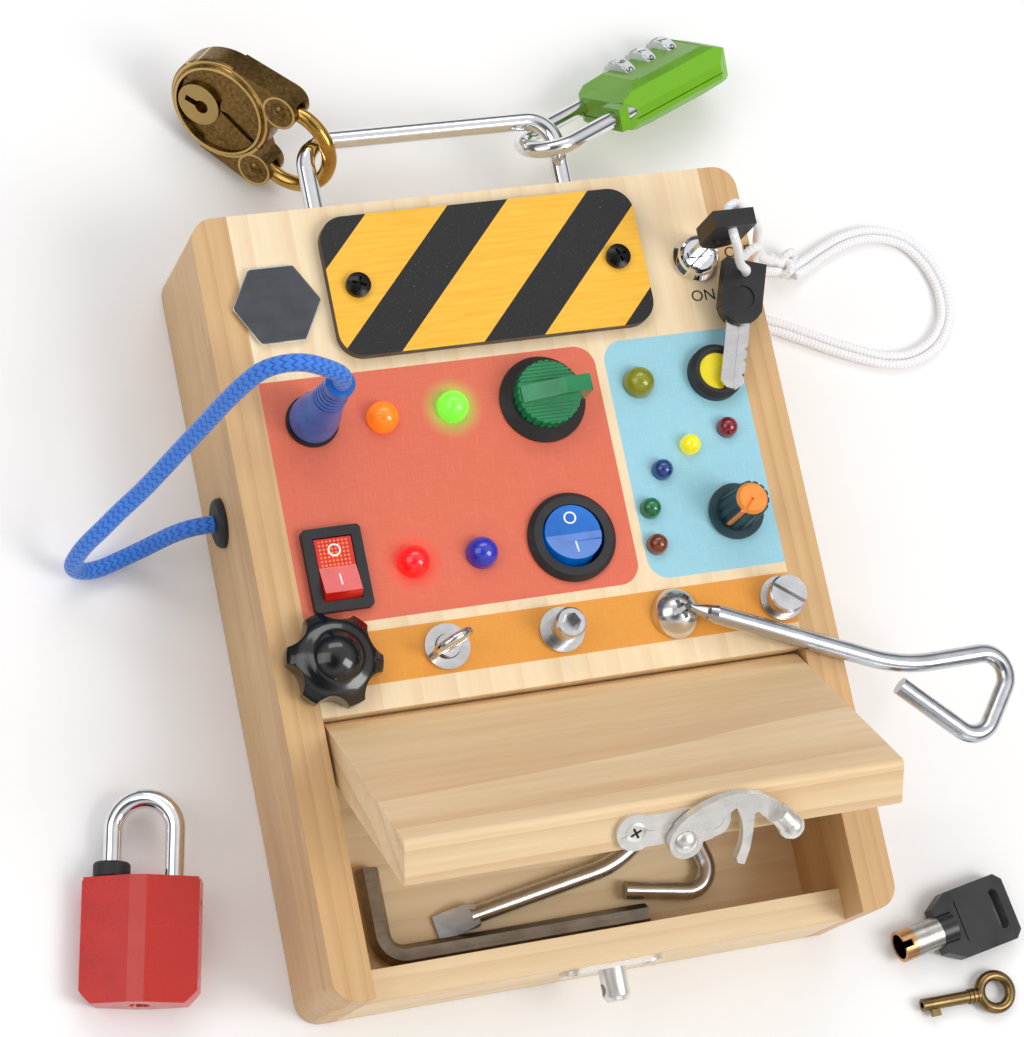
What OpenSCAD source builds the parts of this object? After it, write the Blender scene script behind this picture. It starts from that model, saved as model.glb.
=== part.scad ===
// Wooden busy board lying on its back, with switches, lamps, bolts, a lidded box and locks.
// Millimetres. X right, Y towards the handle, Z up out of the face, back face on z = 0.

/* [Board] */
// Width of the board across the face
board_w = 146; // [130:0.5:170]
// Height of the board from the lid end to the handle end
board_h = 197; // [185:0.5:215]
// Depth of the board from back to face
board_d = 43; // [40:0.5:50]
// Radius of the four upright corners
corner_r = 6; // [2:0.5:9]
// Thickness of the side walls
side_t = 9.8; // [8:0.1:12]
// Thickness of the face panel
face_t = 9; // [7:0.1:10]
// Thickness of the top rail
rail_t = 10; // [8:0.5:14]
// Thickness of the back panel, which is also the floor of the tool box
back_t = 6; // [4:0.5:8]
// Thickness of the divider between the works and the tool box
divider_t = 6; // [4:0.5:8]
// Thickness of the end wall of the tool box
wall_t = 8; // [6:0.5:10]
// Distance of the face panel's lower edge below the board's centre
panel_low = 30.3; // [28:0.1:32]
// Running clearance in every turning or sliding round fit, on the radius
run_gap = 0.06; // [0.02:0.01:0.1]
// Clearance round the cases let into the face panel
case_gap = 0.1; // [0.05:0.01:0.4]

/* [Lid] */
// Thickness of the lid
lid_t = 12; // [10:0.1:13]
// Distance from the lid's hinge axis to its free end
lid_len = 62.1; // [61.9:0.1:62.6]
// Gap at each side of the lid
lid_side_gap = 1; // [0.5:0.1:2]
// Gap between the rounded hinge edge and the divider
lid_edge_gap = 0.3; // [0.2:0.05:1]
// Opening angle at rest
lid_open = 53; // [0:1:88]
// Radius of the hinge pins
pin_r = 2; // [1.5:0.1:3]
// Length of each hinge pin in the side wall
pin_in = 5; // [3:0.5:7]

/* [Latch] */
// Position of the rivet across the lid
rivet_x = 5.1; // [0:0.1:10]
// Position of the rivet below the middle of the lid's thickness
rivet_drop = 4; // [2:0.1:4.5]
// Thickness of the latch plate
latch_t = 1.5; // [1:0.1:2]
// Thickness of the latch arm
arm_t = 2.4; // [1.6:0.1:3]
// Radius of the slot path of the arm about the rivet
slot_path_r = 10.5; // [9:0.1:12]
// Radius of the keeper post
post_r = 3.5; // [2.5:0.1:3.6]
// Length of the keeper post beyond its plate
post_len = 8; // [6:0.5:10]
// Radius of the cross hole through the keeper post
post_hole_r = 1.6; // [1:0.1:2]
// Thickness of the keeper plate
keeper_t = 1.2; // [0.8:0.1:1.3]
// Clearance of the post in the arm's slot
slot_gap = 0.25; // [0.15:0.05:0.5]

/* [Sign and mirror] */
// Width of the sign plate
sign_w = 83.7; // [70:0.1:90]
// Height of the sign plate
sign_h = 36.7; // [30:0.1:38]
// Thickness of the sign plate
sign_t = 3; // [2:0.1:4]
// Corner radius of the sign plate
sign_r = 6.5; // [3:0.1:9]
// Distance of the sign plate's centre above the board's centre
sign_y = 76.2; // [74:0.1:78]
// Distance between the two sign screws
sign_screws = 69.3; // [60:0.1:72]
// Corner radius of the hexagonal mirror, centre to corner
mirror_r = 11.4; // [9:0.1:12]
// Thickness of the mirror
mirror_t = 1.6; // [1:0.1:3]
// Head radius of the small screws
screw_head_r = 3.15; // [2.5:0.05:3.2]
// Head height of the small screws
screw_head_h = 2.2; // [1.5:0.1:3]
// Shank radius of the small screws
screw_r = 1.5; // [1:0.1:1.8]
// Shank length of the small screws
screw_len = 8; // [5:0.5:8.5]

/* [Handle] */
// Radius of the handle rod
handle_r = 2.45; // [2:0.05:3]
// Distance between the handle's legs
handle_legs = 68.4; // [60:0.1:80]
// Distance of the handle bar beyond the board's top edge
handle_out = 25.2; // [22:0.1:32]
// Bend radius of the handle corners
handle_bend = 7; // [5:0.5:9]
// Depth of the legs in the top rail
handle_in = 8; // [5:0.5:9]

/* [Lamps] */
// Radius of the large lamps
led_big_r = 4; // [3.5:0.1:5]
// Radius of the small lamps
led_small_r = 2.6; // [2:0.1:3]
// Height of the lamp domes' centre above the face
led_rise = 0.8; // [0.2:0.1:2]

/* [Rocker switches] */
// Width of the rectangular bezel
bezel_w = 15; // [14:0.1:17]
// Height of the rectangular bezel
bezel_h = 21; // [20.6:0.1:23]
// Thickness of both rocker bezels
bezel_t = 2.3; // [1.5:0.1:3]
// Radius of the round bezel
round_bezel_r = 11.4; // [11:0.1:12.5]
// Radius of the round rocker
round_rocker_r = 7.3; // [6.5:0.1:7.4]
// Width of the rectangular rocker
rocker_w = 9.4; // [8:0.1:9.8]
// Turning radius of the rectangular rocker's ends
rocker_end_r = 8.3; // [7.5:0.1:8.4]
// Tilt of each rocker to either side
rocker_tilt = 9; // [5:0.5:10]
// Depth of the switch bodies below the face
body_depth = 16; // [14.5:0.5:22]

/* [Turning knobs] */
// Radius of the selector's black bezel
selector_bezel_r = 11.2; // [10:0.1:12]
// Radius of the green selector knob
selector_r = 8.3; // [7:0.1:9]
// Height of the selector's bezel
selector_bezel_h = 3; // [2:0.1:4]
// Height of the selector's handle bar above its disc
selector_bar_h = 5.4; // [3:0.1:7]
// Radius of the potentiometer knob's skirt
pot_skirt_r = 7.2; // [6:0.1:8]
// Height of the potentiometer knob
pot_h = 14; // [10:0.5:18]
// Radius of the potentiometer's body behind the panel
pot_body_r = 8; // [6:0.1:9]

/* [Push button] */
// Radius of the button's black ring
button_ring_r = 7.2; // [6.5:0.1:8]
// Height of the button's ring
button_ring_h = 3.8; // [2.5:0.1:5]
// Radius of the yellow cap
button_r = 4.8; // [4:0.1:5]
// Travel of the button
button_travel = 1.5; // [1:0.1:2]

/* [Key switch] */
// Radius of the key switch's bezel
key_bezel_r = 6.35; // [6:0.05:8]
// Radius of the turning barrel
barrel_r = 4.1; // [3.5:0.1:4.5]
// Length of a key's head
key_head_len = 17; // [14:0.5:20]
// Width of a key's head
key_head_w = 11; // [9:0.5:13]
// Thickness of a key's head
key_head_t = 4.4; // [3:0.1:5]
// Length of key blade that shows below the head
key_blade_out = 10; // [8:0.5:14]
// Thickness of a key's blade
key_blade_t = 1.3; // [1:0.1:1.5]
// Diameter of the white cord
cord_d = 2.4; // [1.8:0.1:2.4]

/* [Plug and rope] */
// Radius of the jack's flange
jack_r = 6.7; // [6.5:0.1:8]
// Length of the plug's body
plug_len = 31; // [26:0.5:36]
// Radius of the plug's body at its base
plug_base_r = 6.2; // [5.5:0.1:6.6]
// Radius of the plug's body at its top
plug_top_r = 3.7; // [3.4:0.1:4.5]
// Radius of the plug's pin
plug_pin_r = 3; // [2:0.1:3.2]
// Diameter of the blue rope
rope_d = 4.4; // [3.5:0.1:5]
// Radius of the side grommet
grommet_r = 6.3; // [5:0.1:8]

/* [Bolts] */
// Diameter of the shanks of all five bolts
bolt_d = 6; // [4:0.1:6.4]
// Length of the bolt shanks
bolt_len = 12; // [10:0.5:16]
// Outer radius of the washers
washer_r = 5.75; // [5:0.05:7]
// Thickness of the washers
washer_t = 1.1; // [0.8:0.1:2]
// Outer radius of the star knob
star_r = 12; // [10:0.1:13]
// Height of the star knob
star_h = 9; // [7:0.5:12]
// Radius of the domed bolt's head
dome_r = 6.5; // [5:0.1:7.5]
// Height of the domed bolt's head
dome_h = 5.6; // [4:0.1:6]
// Radius of the socket bolt's head
socket_r = 3.9; // [3.5:0.1:5]
// Height of the socket bolt's head
socket_h = 8; // [5:0.5:10]
// Radius of the slotted bolt's head
slot_head_r = 4.9; // [4:0.1:6]
// Height of the slotted bolt's head
slot_head_h = 5.2; // [3:0.1:7]
// Mean radius of the eye
eye_r = 4.5; // [3.5:0.1:6]
// Wire radius of the eye
eye_wire_r = 1.15; // [0.8:0.05:1.4]

/* [Tools] */
// Radius of the rod of the two screwdrivers
rod_r = 2.4; // [2:0.1:3]
// Width across the flats of the hex key
hex_af = 5; // [4:0.1:5.5]
// Length of the hex key's long arm
hex_long = 70; // [50:1:75]
// Length of the hex key's short arm
hex_short = 23; // [15:1:24]
// Length of the cross tool's straight rod
cross_rod = 45; // [40:1:50]
// Length of the flat tool's straight rod
flat_rod = 40; // [35:1:42]

/* [Round padlock] */
// Radius of the round padlock's body
brass_r = 14.7; // [13:0.1:15]
// Thickness of the round padlock's body
brass_t = 9; // [8.6:0.1:9.2]
// Wire radius of the round padlock's shackle
brass_wire_r = 2; // [1.5:0.1:2.1]

/* [Combination padlock] */
// Length of the combination padlock's case
green_len = 42; // [40:0.5:43]
// Width of the combination padlock's case
green_w = 20; // [19:0.5:24]
// Thickness of the combination padlock's case
green_t = 12.5; // [12:0.1:13]
// Wire radius of its shackle
green_wire_r = 2.2; // [1.8:0.1:2.3]
// Distance of each of its shackle legs from the middle
green_leg = 7.5; // [7:0.1:7.8]
// Reach of the shackle's bend from the middle of the case
green_far = 47.5; // [46:0.5:50]
// Radius of the number dials
dial_r = 5.3; // [5:0.1:5.5]
// Width of a number dial
dial_w = 3.3; // [2.5:0.1:3.5]
// Distance from dial to dial
dial_pitch = 8.2; // [7:0.1:8.6]

/* [Small padlock and loose keys] */
// Width of the small padlock's body
red_w = 30; // [26:0.5:32]
// Thickness of the small padlock's body in the middle
red_t = 14.4; // [13:0.1:15]
// Height of the small padlock's body
red_h = 31; // [28:0.5:34]
// Wire radius of the small padlock's shackle
red_wire_r = 2.45; // [2:0.05:2.6]
// Distance of each of its shackle legs from the middle
red_leg = 7.75; // [7:0.05:9]
// Reach of its shackle's bend from the bottom of the body
red_top = 51; // [48:0.5:56]
// Outer radius of the tubular key
tube_r = 4.2; // [3:0.1:4.5]
// Length of tubular key that shows
tube_len = 13; // [10:0.5:18]
// Length of the small brass key
brass_key_len = 20; // [16:0.5:24]

/* [Battery compartment] */
// Length of the battery door
door_w = 56; // [54:0.5:60]
// Width of the battery door
door_h = 30; // [28:0.5:34]
// Thickness of the battery door
door_t = 2; // [1.5:0.1:2.5]
// Radius of a battery cell
cell_r = 5.2; // [5:0.1:5.25]

/* [Hidden] */
$fn = 64;
face_z = board_d;
half_w = board_w / 2;
half_h = board_h / 2;
in_x = half_w - side_t;
under_z = face_z - face_t;
panel_y = -panel_low;
wall_in_y = -half_h + wall_t;
pivot_y = panel_y - lid_edge_gap - lid_t / 2;
pivot_z = face_z - 0.3 - lid_t / 2;
wall_z = pivot_z - lid_t / 2 - 0.3;
lid_half = in_x - lid_side_gap;
hole_r = bolt_d / 2 + run_gap;
bolt_y = -17.3;
bolt_x = [-in_x + 4.6, -29.1, 0.8, 31.2, in_x - 3.4];
sign_x = 0.5;
mirror_x = -in_x + 8.2;
mirror_y = 74;
rect_x = -in_x + 10.3;
rect_y = 5.5;
round_x = 8.3;
round_y = 5.6;
sel_x = 8.3;
sel_y = 41.8;
but_x = in_x - 7.9;
but_y = 43;
pot_x = in_x - 10.5;
pot_y = 6.4;
key_x = in_x - 6;
key_y = 74.2;
jack_x = -in_x + 11.6;
jack_y = 43.5;
big_leds = [[34.5, 43.1], [-33.8, 42.2], [-15.4, 42.7], [-33.2, 4.9], [-15.5, 4.8]];
small_leds = [[55.4, 28.5], [44.5, 25.2], [35.7, 19.7], [30.4, 10.2], [30.1, 0.8]];
rock_z = face_z - 1;
rocker_mid = 3.2;
cavity_r = rocker_end_r + 0.2;
round_cav_r = round_rocker_r + 0.8;
rect_body_w = rocker_w + 3.2;
rect_body_h = 2 * cavity_r + 2.4;
round_body_r = round_cav_r + 1.7;
selector_body_r = 8;
button_body_r = 6.2;
key_body_r = barrel_r + 1.4;
jack_body_r = plug_pin_r + 1.5;
grommet_y = 26.6;
grommet_z = 19.6;
handle_z = 21.4;
handle_x = handle_legs / 2;
handle_y = half_h + handle_out;
post_x = 2.5;
rivet_z = pivot_z - rivet_drop;
post_z = rivet_z - sqrt(slot_path_r * slot_path_r - (rivet_x - post_x) * (rivet_x - post_x));
door_x = 0;
door_y = 32;
floor_z = back_t;
dial_mid = -2.6;
dial_y = -6.5;
dial_n = 2.4;
corner_x = handle_x - handle_bend * (1 - cos(45));
corner_y = handle_y - handle_bend * (1 - cos(45));

// free cord runs, chosen by hand and measured along X from the jack and from the key switch: the rope from
// the plug to the grommet, the white cord through both keys and on the table
rope_path = [[0, 43.5, 75.2], [0, 43.5, 77.4], [-1.4, 43.9, 81], [-5.4, 45, 84], [-10.4, 46, 86.5],
    [-15.4, 46.5, 86.5], [-19.9, 46.5, 83.5], [-23.4, 45.5, 78.5], [-27.4, 43.5, 70],
    [-31.4, 41, 60.5], [-35.4, 38.5, 52], [-39.9, 35.5, 43.5], [-43.9, 33, 36], [-48.4, 30.5, 29.5],
    [-52.4, 28, 24], [-55.9, 26, 18], [-57.9, 24.3, 12], [-57.9, 23.3, 6.8], [-54.9, 22.8, 3.5],
    [-50.4, 23.2, 2.6], [-45.4, 24.5, 3.2], [-40.4, 25.6, 6], [-36.4, 26.3, 10], [-33.4, 26.6, 14],
    [-29.9, 26.6, 18], [-26.4, 26.6, 19.4], [-23.6, 26.6, 19.6]];
cord_path = [[41.3, 83.2, 3.4], [38.3, 82.8, 5], [34.8, 82.4, 8.5], [31.3, 82, 13.5], [28.3, 81.6, 19],
    [25.6, 81.2, 25], [23.1, 80.9, 31.5], [20.8, 80.6, 38], [18.6, 80.3, 44.3], [15.8, 80.1, 50],
    [12.6, 79.9, 55.5], [9.1, 79.6, 61], [5.8, 79.4, 66], [3.2, 79.2, 69.6], [1.5, 78.6, 70.8],
    [0, 77, 71.2], [0, 71.4, 71.2], [0.5, 69.6, 70.3], [1.8, 68.4, 67.5], [3.4, 67.8, 63.5],
    [5, 67.3, 59.5], [6.8, 67, 55.8], [9.5, 66.8, 51.7], [9.6, 67.1, 45.9], [9.9, 67.9, 44.8],
    [10.8, 70.1, 44.35], [12.6, 72.6, 44.4], [14.8, 74.2, 44.8], [16.6, 75.1, 44.4], [18.4, 75.8, 41.8], [19.8, 76.4, 37.5],
    [21.4, 77, 32], [23.4, 77.6, 26], [25.8, 78.2, 20], [28.8, 78.8, 14], [32.8, 79.4, 8.6],
    [37.8, 80, 4.6], [43.3, 81, 2.2], [48.8, 83.4, 1.35], [54.8, 86.3, 1.3], [60.8, 88.6, 1.3],
    [67.3, 89.7, 1.3], [73.8, 89, 1.3], [79.8, 86.4, 1.3], [84.3, 81.6, 1.3], [87.3, 75.3, 1.3],
    [88.4, 68.4, 1.3], [87.2, 61.5, 1.3], [83.4, 55.8, 1.3], [77.8, 52.1, 1.3], [71.2, 50.6, 1.3],
    [64.3, 51.4, 1.3], [57.3, 53.9, 1.3], [50.3, 57, 1.3], [43.3, 60.5, 1.3], [36.3, 63.9, 1.3],
    [29.3, 66.6, 1.3], [22.8, 68.6, 1.3]];

module round_rect(w, h, r) {
    square([w - 2 * r, h], center = true);
    square([w, h - 2 * r], center = true);
    for (i = [-1, 1], j = [-1, 1]) translate([i * (w / 2 - r), j * (h / 2 - r)]) circle(r);
}

module at_lid() {
    translate([0, pivot_y, pivot_z]) rotate([-lid_open, 0, 0]) children();
}

module torus(ring_r, wire_r) {
    rotate_extrude() translate([ring_r, 0]) circle(wire_r, $fn = 32);
}

module screw(head_r, head_h, shank_r, shank_len) {
    difference() {
        intersection() {
            cylinder(r = head_r, h = head_h);
            translate([0, 0, head_h - 2.2 * head_r]) sphere(2.2 * head_r);
        }
        for (a = [0, 90]) rotate([0, 0, a]) translate([-head_r * 0.6, -0.35, head_h - 1])
            cube([head_r * 1.2, 0.7, 3]);
    }
    translate([0, 0, -shank_len]) cylinder(r = shank_r, h = shank_len);
}

// a round wire laid in its own XY plane: each step is a straight length, then a bend that reaches a little into both
module wire_path(steps, wire_r, i = 0) {
    if (i < len(steps)) {
        straight = steps[i][0];
        turn = steps[i][1];
        bend_r = steps[i][2];
        lap = 12 / bend_r;
        rotate([0, 90, 0]) cylinder(r = wire_r, h = straight);
        translate([straight, 0, 0]) {
            if (turn > 0) translate([0, bend_r, 0]) rotate([0, 0, -90 - lap])
                rotate_extrude(angle = turn + 2 * lap) translate([bend_r, 0]) circle(wire_r - 0.02,
                    $fn = 32);
            if (turn < 0) translate([0, -bend_r, 0]) rotate([0, 0, 90 + turn - lap])
                rotate_extrude(angle = 2 * lap - turn) translate([bend_r, 0]) circle(wire_r - 0.02,
                    $fn = 32);
            side = turn > 0 ? 1 : -1;
            if (turn != 0) translate([0, side * bend_r, 0]) rotate([0, 0, turn]) translate([0,
                -side * bend_r, 0])
                wire_path(steps, wire_r, i + 1);
        }
    }
}

// a tube swept along points, for the free cords
function unit_of(v) = v / norm(v);
function heading(p, i) = unit_of(p[min(i + 1, len(p) - 1)] - p[max(i - 1, 0)]);
module cord(p, d, start_dir, end_dir) {
    sides = 8;
    count = len(p);
    dirs = [for (i = [0:count - 1]) i == 0 ? start_dir : i == count - 1 ? end_dir : heading(p, i)];
    pts = [for (i = [0:count - 1]) let(t = dirs[i],
            a = unit_of(cross(t, abs(t[2]) > 0.95 ? [0, 1, 0] : [0, 0, 1])), b = cross(a, t))
        for (k = [0:sides - 1]) p[i] + d / 2 * (cos(k * 45) * a + sin(k * 45) * b)];
    faces = concat([[for (k = [sides - 1:-1:0]) k]],
        [for (i = [0:count - 2], k = [0:sides - 1]) [i * sides + k, i * sides + (k + 1) % sides,
            (i + 1) * sides + (k + 1) % sides, (i + 1) * sides + k]],
        [[for (k = [0:sides - 1]) (count - 1) * sides + k]]);
    polyhedron(pts, faces, convexity = 6);
}

module side_wall_blank() {
    intersection() {
        linear_extrude(board_d) round_rect(board_w, board_h, corner_r);
        translate([-half_w, -half_h, 0]) cube([side_t, board_h, board_d]);
    }
}

module side_walls() {
    color("burlywood") for (i = [0, 1]) mirror([i, 0, 0]) difference() {
        side_wall_blank();
        translate([-in_x - pin_in - 0.5, pivot_y, pivot_z]) rotate([0, 90, 0])
            cylinder(r = pin_r + run_gap, h = pin_in + 2);
        if (i == 0) translate([-half_w - 1, grommet_y, grommet_z]) rotate([0, 90, 0])
            cylinder(r = grommet_r - 2, h = side_t + 2);
    }
}

module top_rail() {
    color("burlywood") difference() {
        translate([-in_x, half_h - rail_t, 0]) cube([2 * in_x, rail_t, under_z]);
        for (i = [-1, 1]) translate([i * handle_x, half_h - handle_in - 0.5, handle_z]) rotate([-90, 0, 0])
            cylinder(r = handle_r + 0.05, h = handle_in + 2);
    }
}

module divider() {
    color("burlywood") translate([-in_x, panel_y, floor_z]) cube([2 * in_x, divider_t, under_z - floor_z]);
}

module bottom_wall() {
    color("burlywood") difference() {
        translate([-in_x, -half_h, 0]) cube([2 * in_x, wall_t, wall_z]);
        for (i = [-1, 1]) translate([post_x + i * 9.5, -half_h - 1, post_z]) rotate([-90, 0, 0])
            cylinder(r = screw_r + 0.05, h = wall_t - 0.5);
    }
}

module back_panel() {
    color("tan") difference() {
        translate([-in_x, wall_in_y, 0]) cube([2 * in_x, half_h - rail_t - wall_in_y, back_t]);
        translate([door_x, door_y, -1]) linear_extrude(door_t + 1.15) round_rect(door_w + 0.6,
            door_h + 0.6, 3);
        translate([door_x - 3, door_y, 0]) linear_extrude(20) round_rect(46.6, 24.6, 2);
        translate([door_x + door_w / 2 - 4, door_y, door_t]) cylinder(r = screw_r + 0.05, h = 10);
    }
}

module battery_box() {
    color("dimgray") difference() {
        translate([door_x - 3, door_y, back_t]) linear_extrude(13.5) round_rect(50, 28, 2.5);
        translate([door_x - 3, door_y, back_t - 1]) linear_extrude(13) round_rect(46, 24, 2);
    }
}

module batteries() {
    color("goldenrod") for (i = [-1, 1]) translate([door_x - 3 - 22.3, door_y + i * (cell_r + 0.35),
        back_t + 12 - cell_r - 0.2])
        rotate([0, 90, 0]) {
            cylinder(r = cell_r, h = 43.5);
            translate([0, 0, 43.5]) cylinder(r = 1.8, h = 1);
        }
}

module battery_door() {
    color("dimgray") difference() {
        translate([door_x, door_y, 0]) linear_extrude(door_t) round_rect(door_w, door_h, 2.7);
        translate([door_x + door_w / 2 - 4, door_y, -1]) cylinder(r = screw_r + 0.1, h = 10);
        translate([door_x + door_w / 2 - 4, door_y, -1]) cylinder(r = screw_head_r + 0.15, h = 2.2);
        for (i = [-3:3]) translate([door_x - 6 + i * 3, door_y - 8, -1]) cube([1, 16, 1.5]);
    }
    color("silver") translate([door_x + door_w / 2 - 4, door_y, 1.2]) rotate([180, 0, 0])
        screw(screw_head_r, 1.1, screw_r, 4.6);
}

module face_panel() {
    color("wheat") difference() {
        translate([-in_x, panel_y, under_z]) cube([2 * in_x, half_h - panel_y, face_t]);
        translate([0, 0, under_z - 1]) {
            for (p = big_leds) translate(p) cylinder(r = led_big_r + 0.05, h = 20);
            for (p = small_leds) translate(p) cylinder(r = led_small_r + 0.05, h = 20);
            for (x = bolt_x) translate([x, bolt_y]) cylinder(r = hole_r, h = 20);
            translate([rect_x - rect_body_w / 2 - case_gap, rect_y - rect_body_h / 2 - case_gap])
                cube([rect_body_w + 2 * case_gap, rect_body_h + 2 * case_gap, 20]);
            translate([round_x, round_y]) cylinder(r = round_body_r + case_gap, h = 20);
            translate([sel_x, sel_y]) cylinder(r = selector_body_r + case_gap, h = 20);
            translate([but_x, but_y]) cylinder(r = button_body_r + case_gap, h = 20);
            translate([pot_x, pot_y]) cylinder(r = 3.5 + case_gap, h = 20);
            translate([key_x, key_y]) cylinder(r = key_body_r + case_gap, h = 20);
            translate([jack_x, jack_y]) cylinder(r = jack_body_r + case_gap, h = 20);
        }
        for (i = [-1, 1]) translate([sign_x + i * sign_screws / 2, sign_y - 0.2,
            face_z - screw_len + sign_t - 0.5])
            cylinder(r = screw_r + 0.05, h = 20);
    }
}

module handle() {
    color("silver") for (i = [0, 1]) mirror([i, 0, 0]) translate([0, 0, handle_z]) {
        translate([handle_x, half_h - handle_in, 0]) rotate([-90, 0, 0])
            cylinder(r = handle_r, h = handle_out + handle_in - handle_bend);
        translate([handle_x - handle_bend, handle_y - handle_bend, 0]) rotate_extrude(angle = 90)
            translate([handle_bend, 0]) circle(handle_r, $fn = 32);
        translate([0, handle_y, 0]) rotate([0, 90, 0]) cylinder(r = handle_r, h = handle_x - handle_bend);
    }
}

module sign_plate() {
    color("gold") difference() {
        translate([sign_x, sign_y, face_z]) linear_extrude(sign_t) round_rect(sign_w, sign_h, sign_r);
        for (i = [-1, 1]) translate([sign_x + i * sign_screws / 2, sign_y - 0.2, face_z - 1])
            cylinder(r = screw_r + 0.1, h = 10);
    }
}

module screws() {
    color("silver") {
        for (i = [-1, 1]) translate([sign_x + i * sign_screws / 2, sign_y - 0.2, face_z + sign_t])
            rotate([0, 0, 20 * i]) screw(screw_head_r, screw_head_h, screw_r, screw_len);
        for (i = [-1, 1]) translate([post_x + i * 9.5, -half_h - keeper_t, post_z]) rotate([90, 0, 0])
            flat_screw();
    }
}

module mirror_tile() {
    color("lightgray") translate([mirror_x, mirror_y, face_z]) linear_extrude(mirror_t)
        circle(mirror_r, $fn = 6);
}

module lamp(r, rise) {
    translate([0, 0, under_z - 4]) cylinder(r = r, h = face_t + 4 + rise);
    translate([0, 0, face_z + rise]) intersection() {
        sphere(r);
        cylinder(r = r + 1, h = r + 1);
    }
    translate([0, 0, under_z - 2]) cylinder(r = r + 0.6, h = 1.6);
}

module lamps_big() {
    color("red") for (p = big_leds) translate(p) lamp(led_big_r, led_rise);
}

module lamps_small() {
    color("green") for (p = small_leds) translate(p) lamp(led_small_r, led_rise + 0.4);
}

module rocker_profile(end_r) {
    difference() {
        intersection() {
            circle(end_r);
            translate([-end_r, -3]) square([2 * end_r, 9]);
        }
        for (i = [0, 1]) mirror([i, 0]) polygon([[0, rocker_mid], [end_r + 1, rocker_mid + (end_r + 1)
            * tan(rocker_tilt)],
            [end_r + 1, 12], [0, 12]]);
    }
}

module rocker_rect_case() {
    color("#26262a") translate([rect_x, rect_y, 0]) difference() {
        union() {
            translate([0, 0, face_z]) linear_extrude(bezel_t) round_rect(bezel_w, bezel_h, 1.2);
            translate([-rect_body_w / 2, -rect_body_h / 2, face_z - body_depth]) cube([rect_body_w,
                rect_body_h, body_depth]);
            for (i = [-1, 1]) translate([i * 3.2 - 0.4, -3, face_z - body_depth - 5]) cube([0.8, 5, 5.5]);
        }
        translate([-rocker_w / 2 - 0.25, 0, rock_z]) rotate([90, 0, 90]) linear_extrude(rocker_w + 0.5) {
            circle(cavity_r);
            translate([-cavity_r + 0.5, 0]) square([2 * cavity_r - 1, 10]);
        }
        translate([0, 0, rock_z]) rotate([0, 90, 0]) cylinder(r = 1.2 + run_gap, h = rocker_w + 2.4,
            center = true);
    }
}

module rocker_rect() {
    color("red") translate([rect_x, rect_y, rock_z]) rotate([-rocker_tilt, 0, 0]) {
        translate([-rocker_w / 2, 0, 0]) rotate([90, 0, 90]) linear_extrude(rocker_w)
            rocker_profile(rocker_end_r);
        rotate([0, 90, 0]) cylinder(r = 1.2, h = rocker_w + 2.2, center = true);
    }
}

module rocker_round_case() {
    color("#26262a") translate([round_x, round_y, 0]) difference() {
        union() {
            translate([0, 0, face_z]) rotate_extrude() polygon([[0, 0], [round_bezel_r, 0],
                [round_bezel_r, 1],
                [round_bezel_r - 1.2, bezel_t], [0, bezel_t]]);
            translate([0, 0, face_z - body_depth]) cylinder(r = round_body_r, h = body_depth);
            for (i = [-1, 1]) translate([i * 4 - 0.4, -3, face_z - body_depth - 5]) cube([0.8, 5, 5.5]);
        }
        translate([0, 0, rock_z - 5]) cylinder(r = round_cav_r, h = 12);
        translate([0, 0, rock_z]) rotate([0, 90, 0]) cylinder(r = 1.2 + run_gap,
            h = 2 * round_cav_r + 2.4, center = true);
    }
}

module rocker_round() {
    color("royalblue") translate([round_x, round_y, rock_z]) rotate([-rocker_tilt, 0, 0]) {
        intersection() {
            translate([-10, 0, 0]) rotate([90, 0, 90]) linear_extrude(20)
                rocker_profile(round_rocker_r + 1.2);
            translate([0, 0, -4]) cylinder(r = round_rocker_r, h = 12);
        }
        rotate([0, 90, 0]) cylinder(r = 1.2, h = 2 * round_cav_r + 2, center = true);
    }
}

module selector_case() {
    color("#26262a") translate([sel_x, sel_y, 0]) difference() {
        union() {
            translate([0, 0, face_z]) rotate_extrude() polygon([[0, 0], [selector_bezel_r, 0],
                [selector_bezel_r, 0.8],
                [selector_r + 0.6, selector_bezel_h], [0, selector_bezel_h]]);
            translate([0, 0, face_z - body_depth]) cylinder(r = selector_body_r, h = body_depth);
            for (i = [-1, 1]) translate([i * 3.5 - 0.4, -2.5, face_z - body_depth - 5]) cube([0.8, 5, 5.5]);
        }
        translate([0, 0, face_z - 10.2]) cylinder(r = 4 + run_gap, h = 30);
    }
}

module selector_knob() {
    color("seagreen") translate([sel_x, sel_y, 0]) {
        translate([0, 0, face_z - 10]) cylinder(r = 4, h = 14);
        translate([0, 0, face_z + selector_bezel_h + 0.15]) {
            difference() {
                cylinder(r = selector_r, h = 4);
                for (i = [0:27]) rotate([0, 0, i * 360 / 28]) translate([selector_r, 0, -1])
                    cylinder(r = 0.35, h = 6, $fn = 12);
                for (i = [-1, 1], k = [0:5]) translate([-9, i * (3.2 + k * 0.9) - 0.2, 3.5]) cube([18,
                    0.4, 2]);
            }
            intersection() {
                translate([-selector_r, -2.1, 0]) cube([2 * selector_r + 1.6, 4.2, 4 + selector_bar_h]);
                translate([0, 10, 4]) rotate([90, 0, 0]) linear_extrude(20) polygon([[-7.5, -3],
                    [selector_r + 1.5, -3],
                    [selector_r + 1.5, selector_bar_h - 0.8], [selector_r + 0.7, selector_bar_h], [3,
                        selector_bar_h - 0.6],
                    [-7.5, 0.6]]);
            }
        }
    }
}

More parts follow.
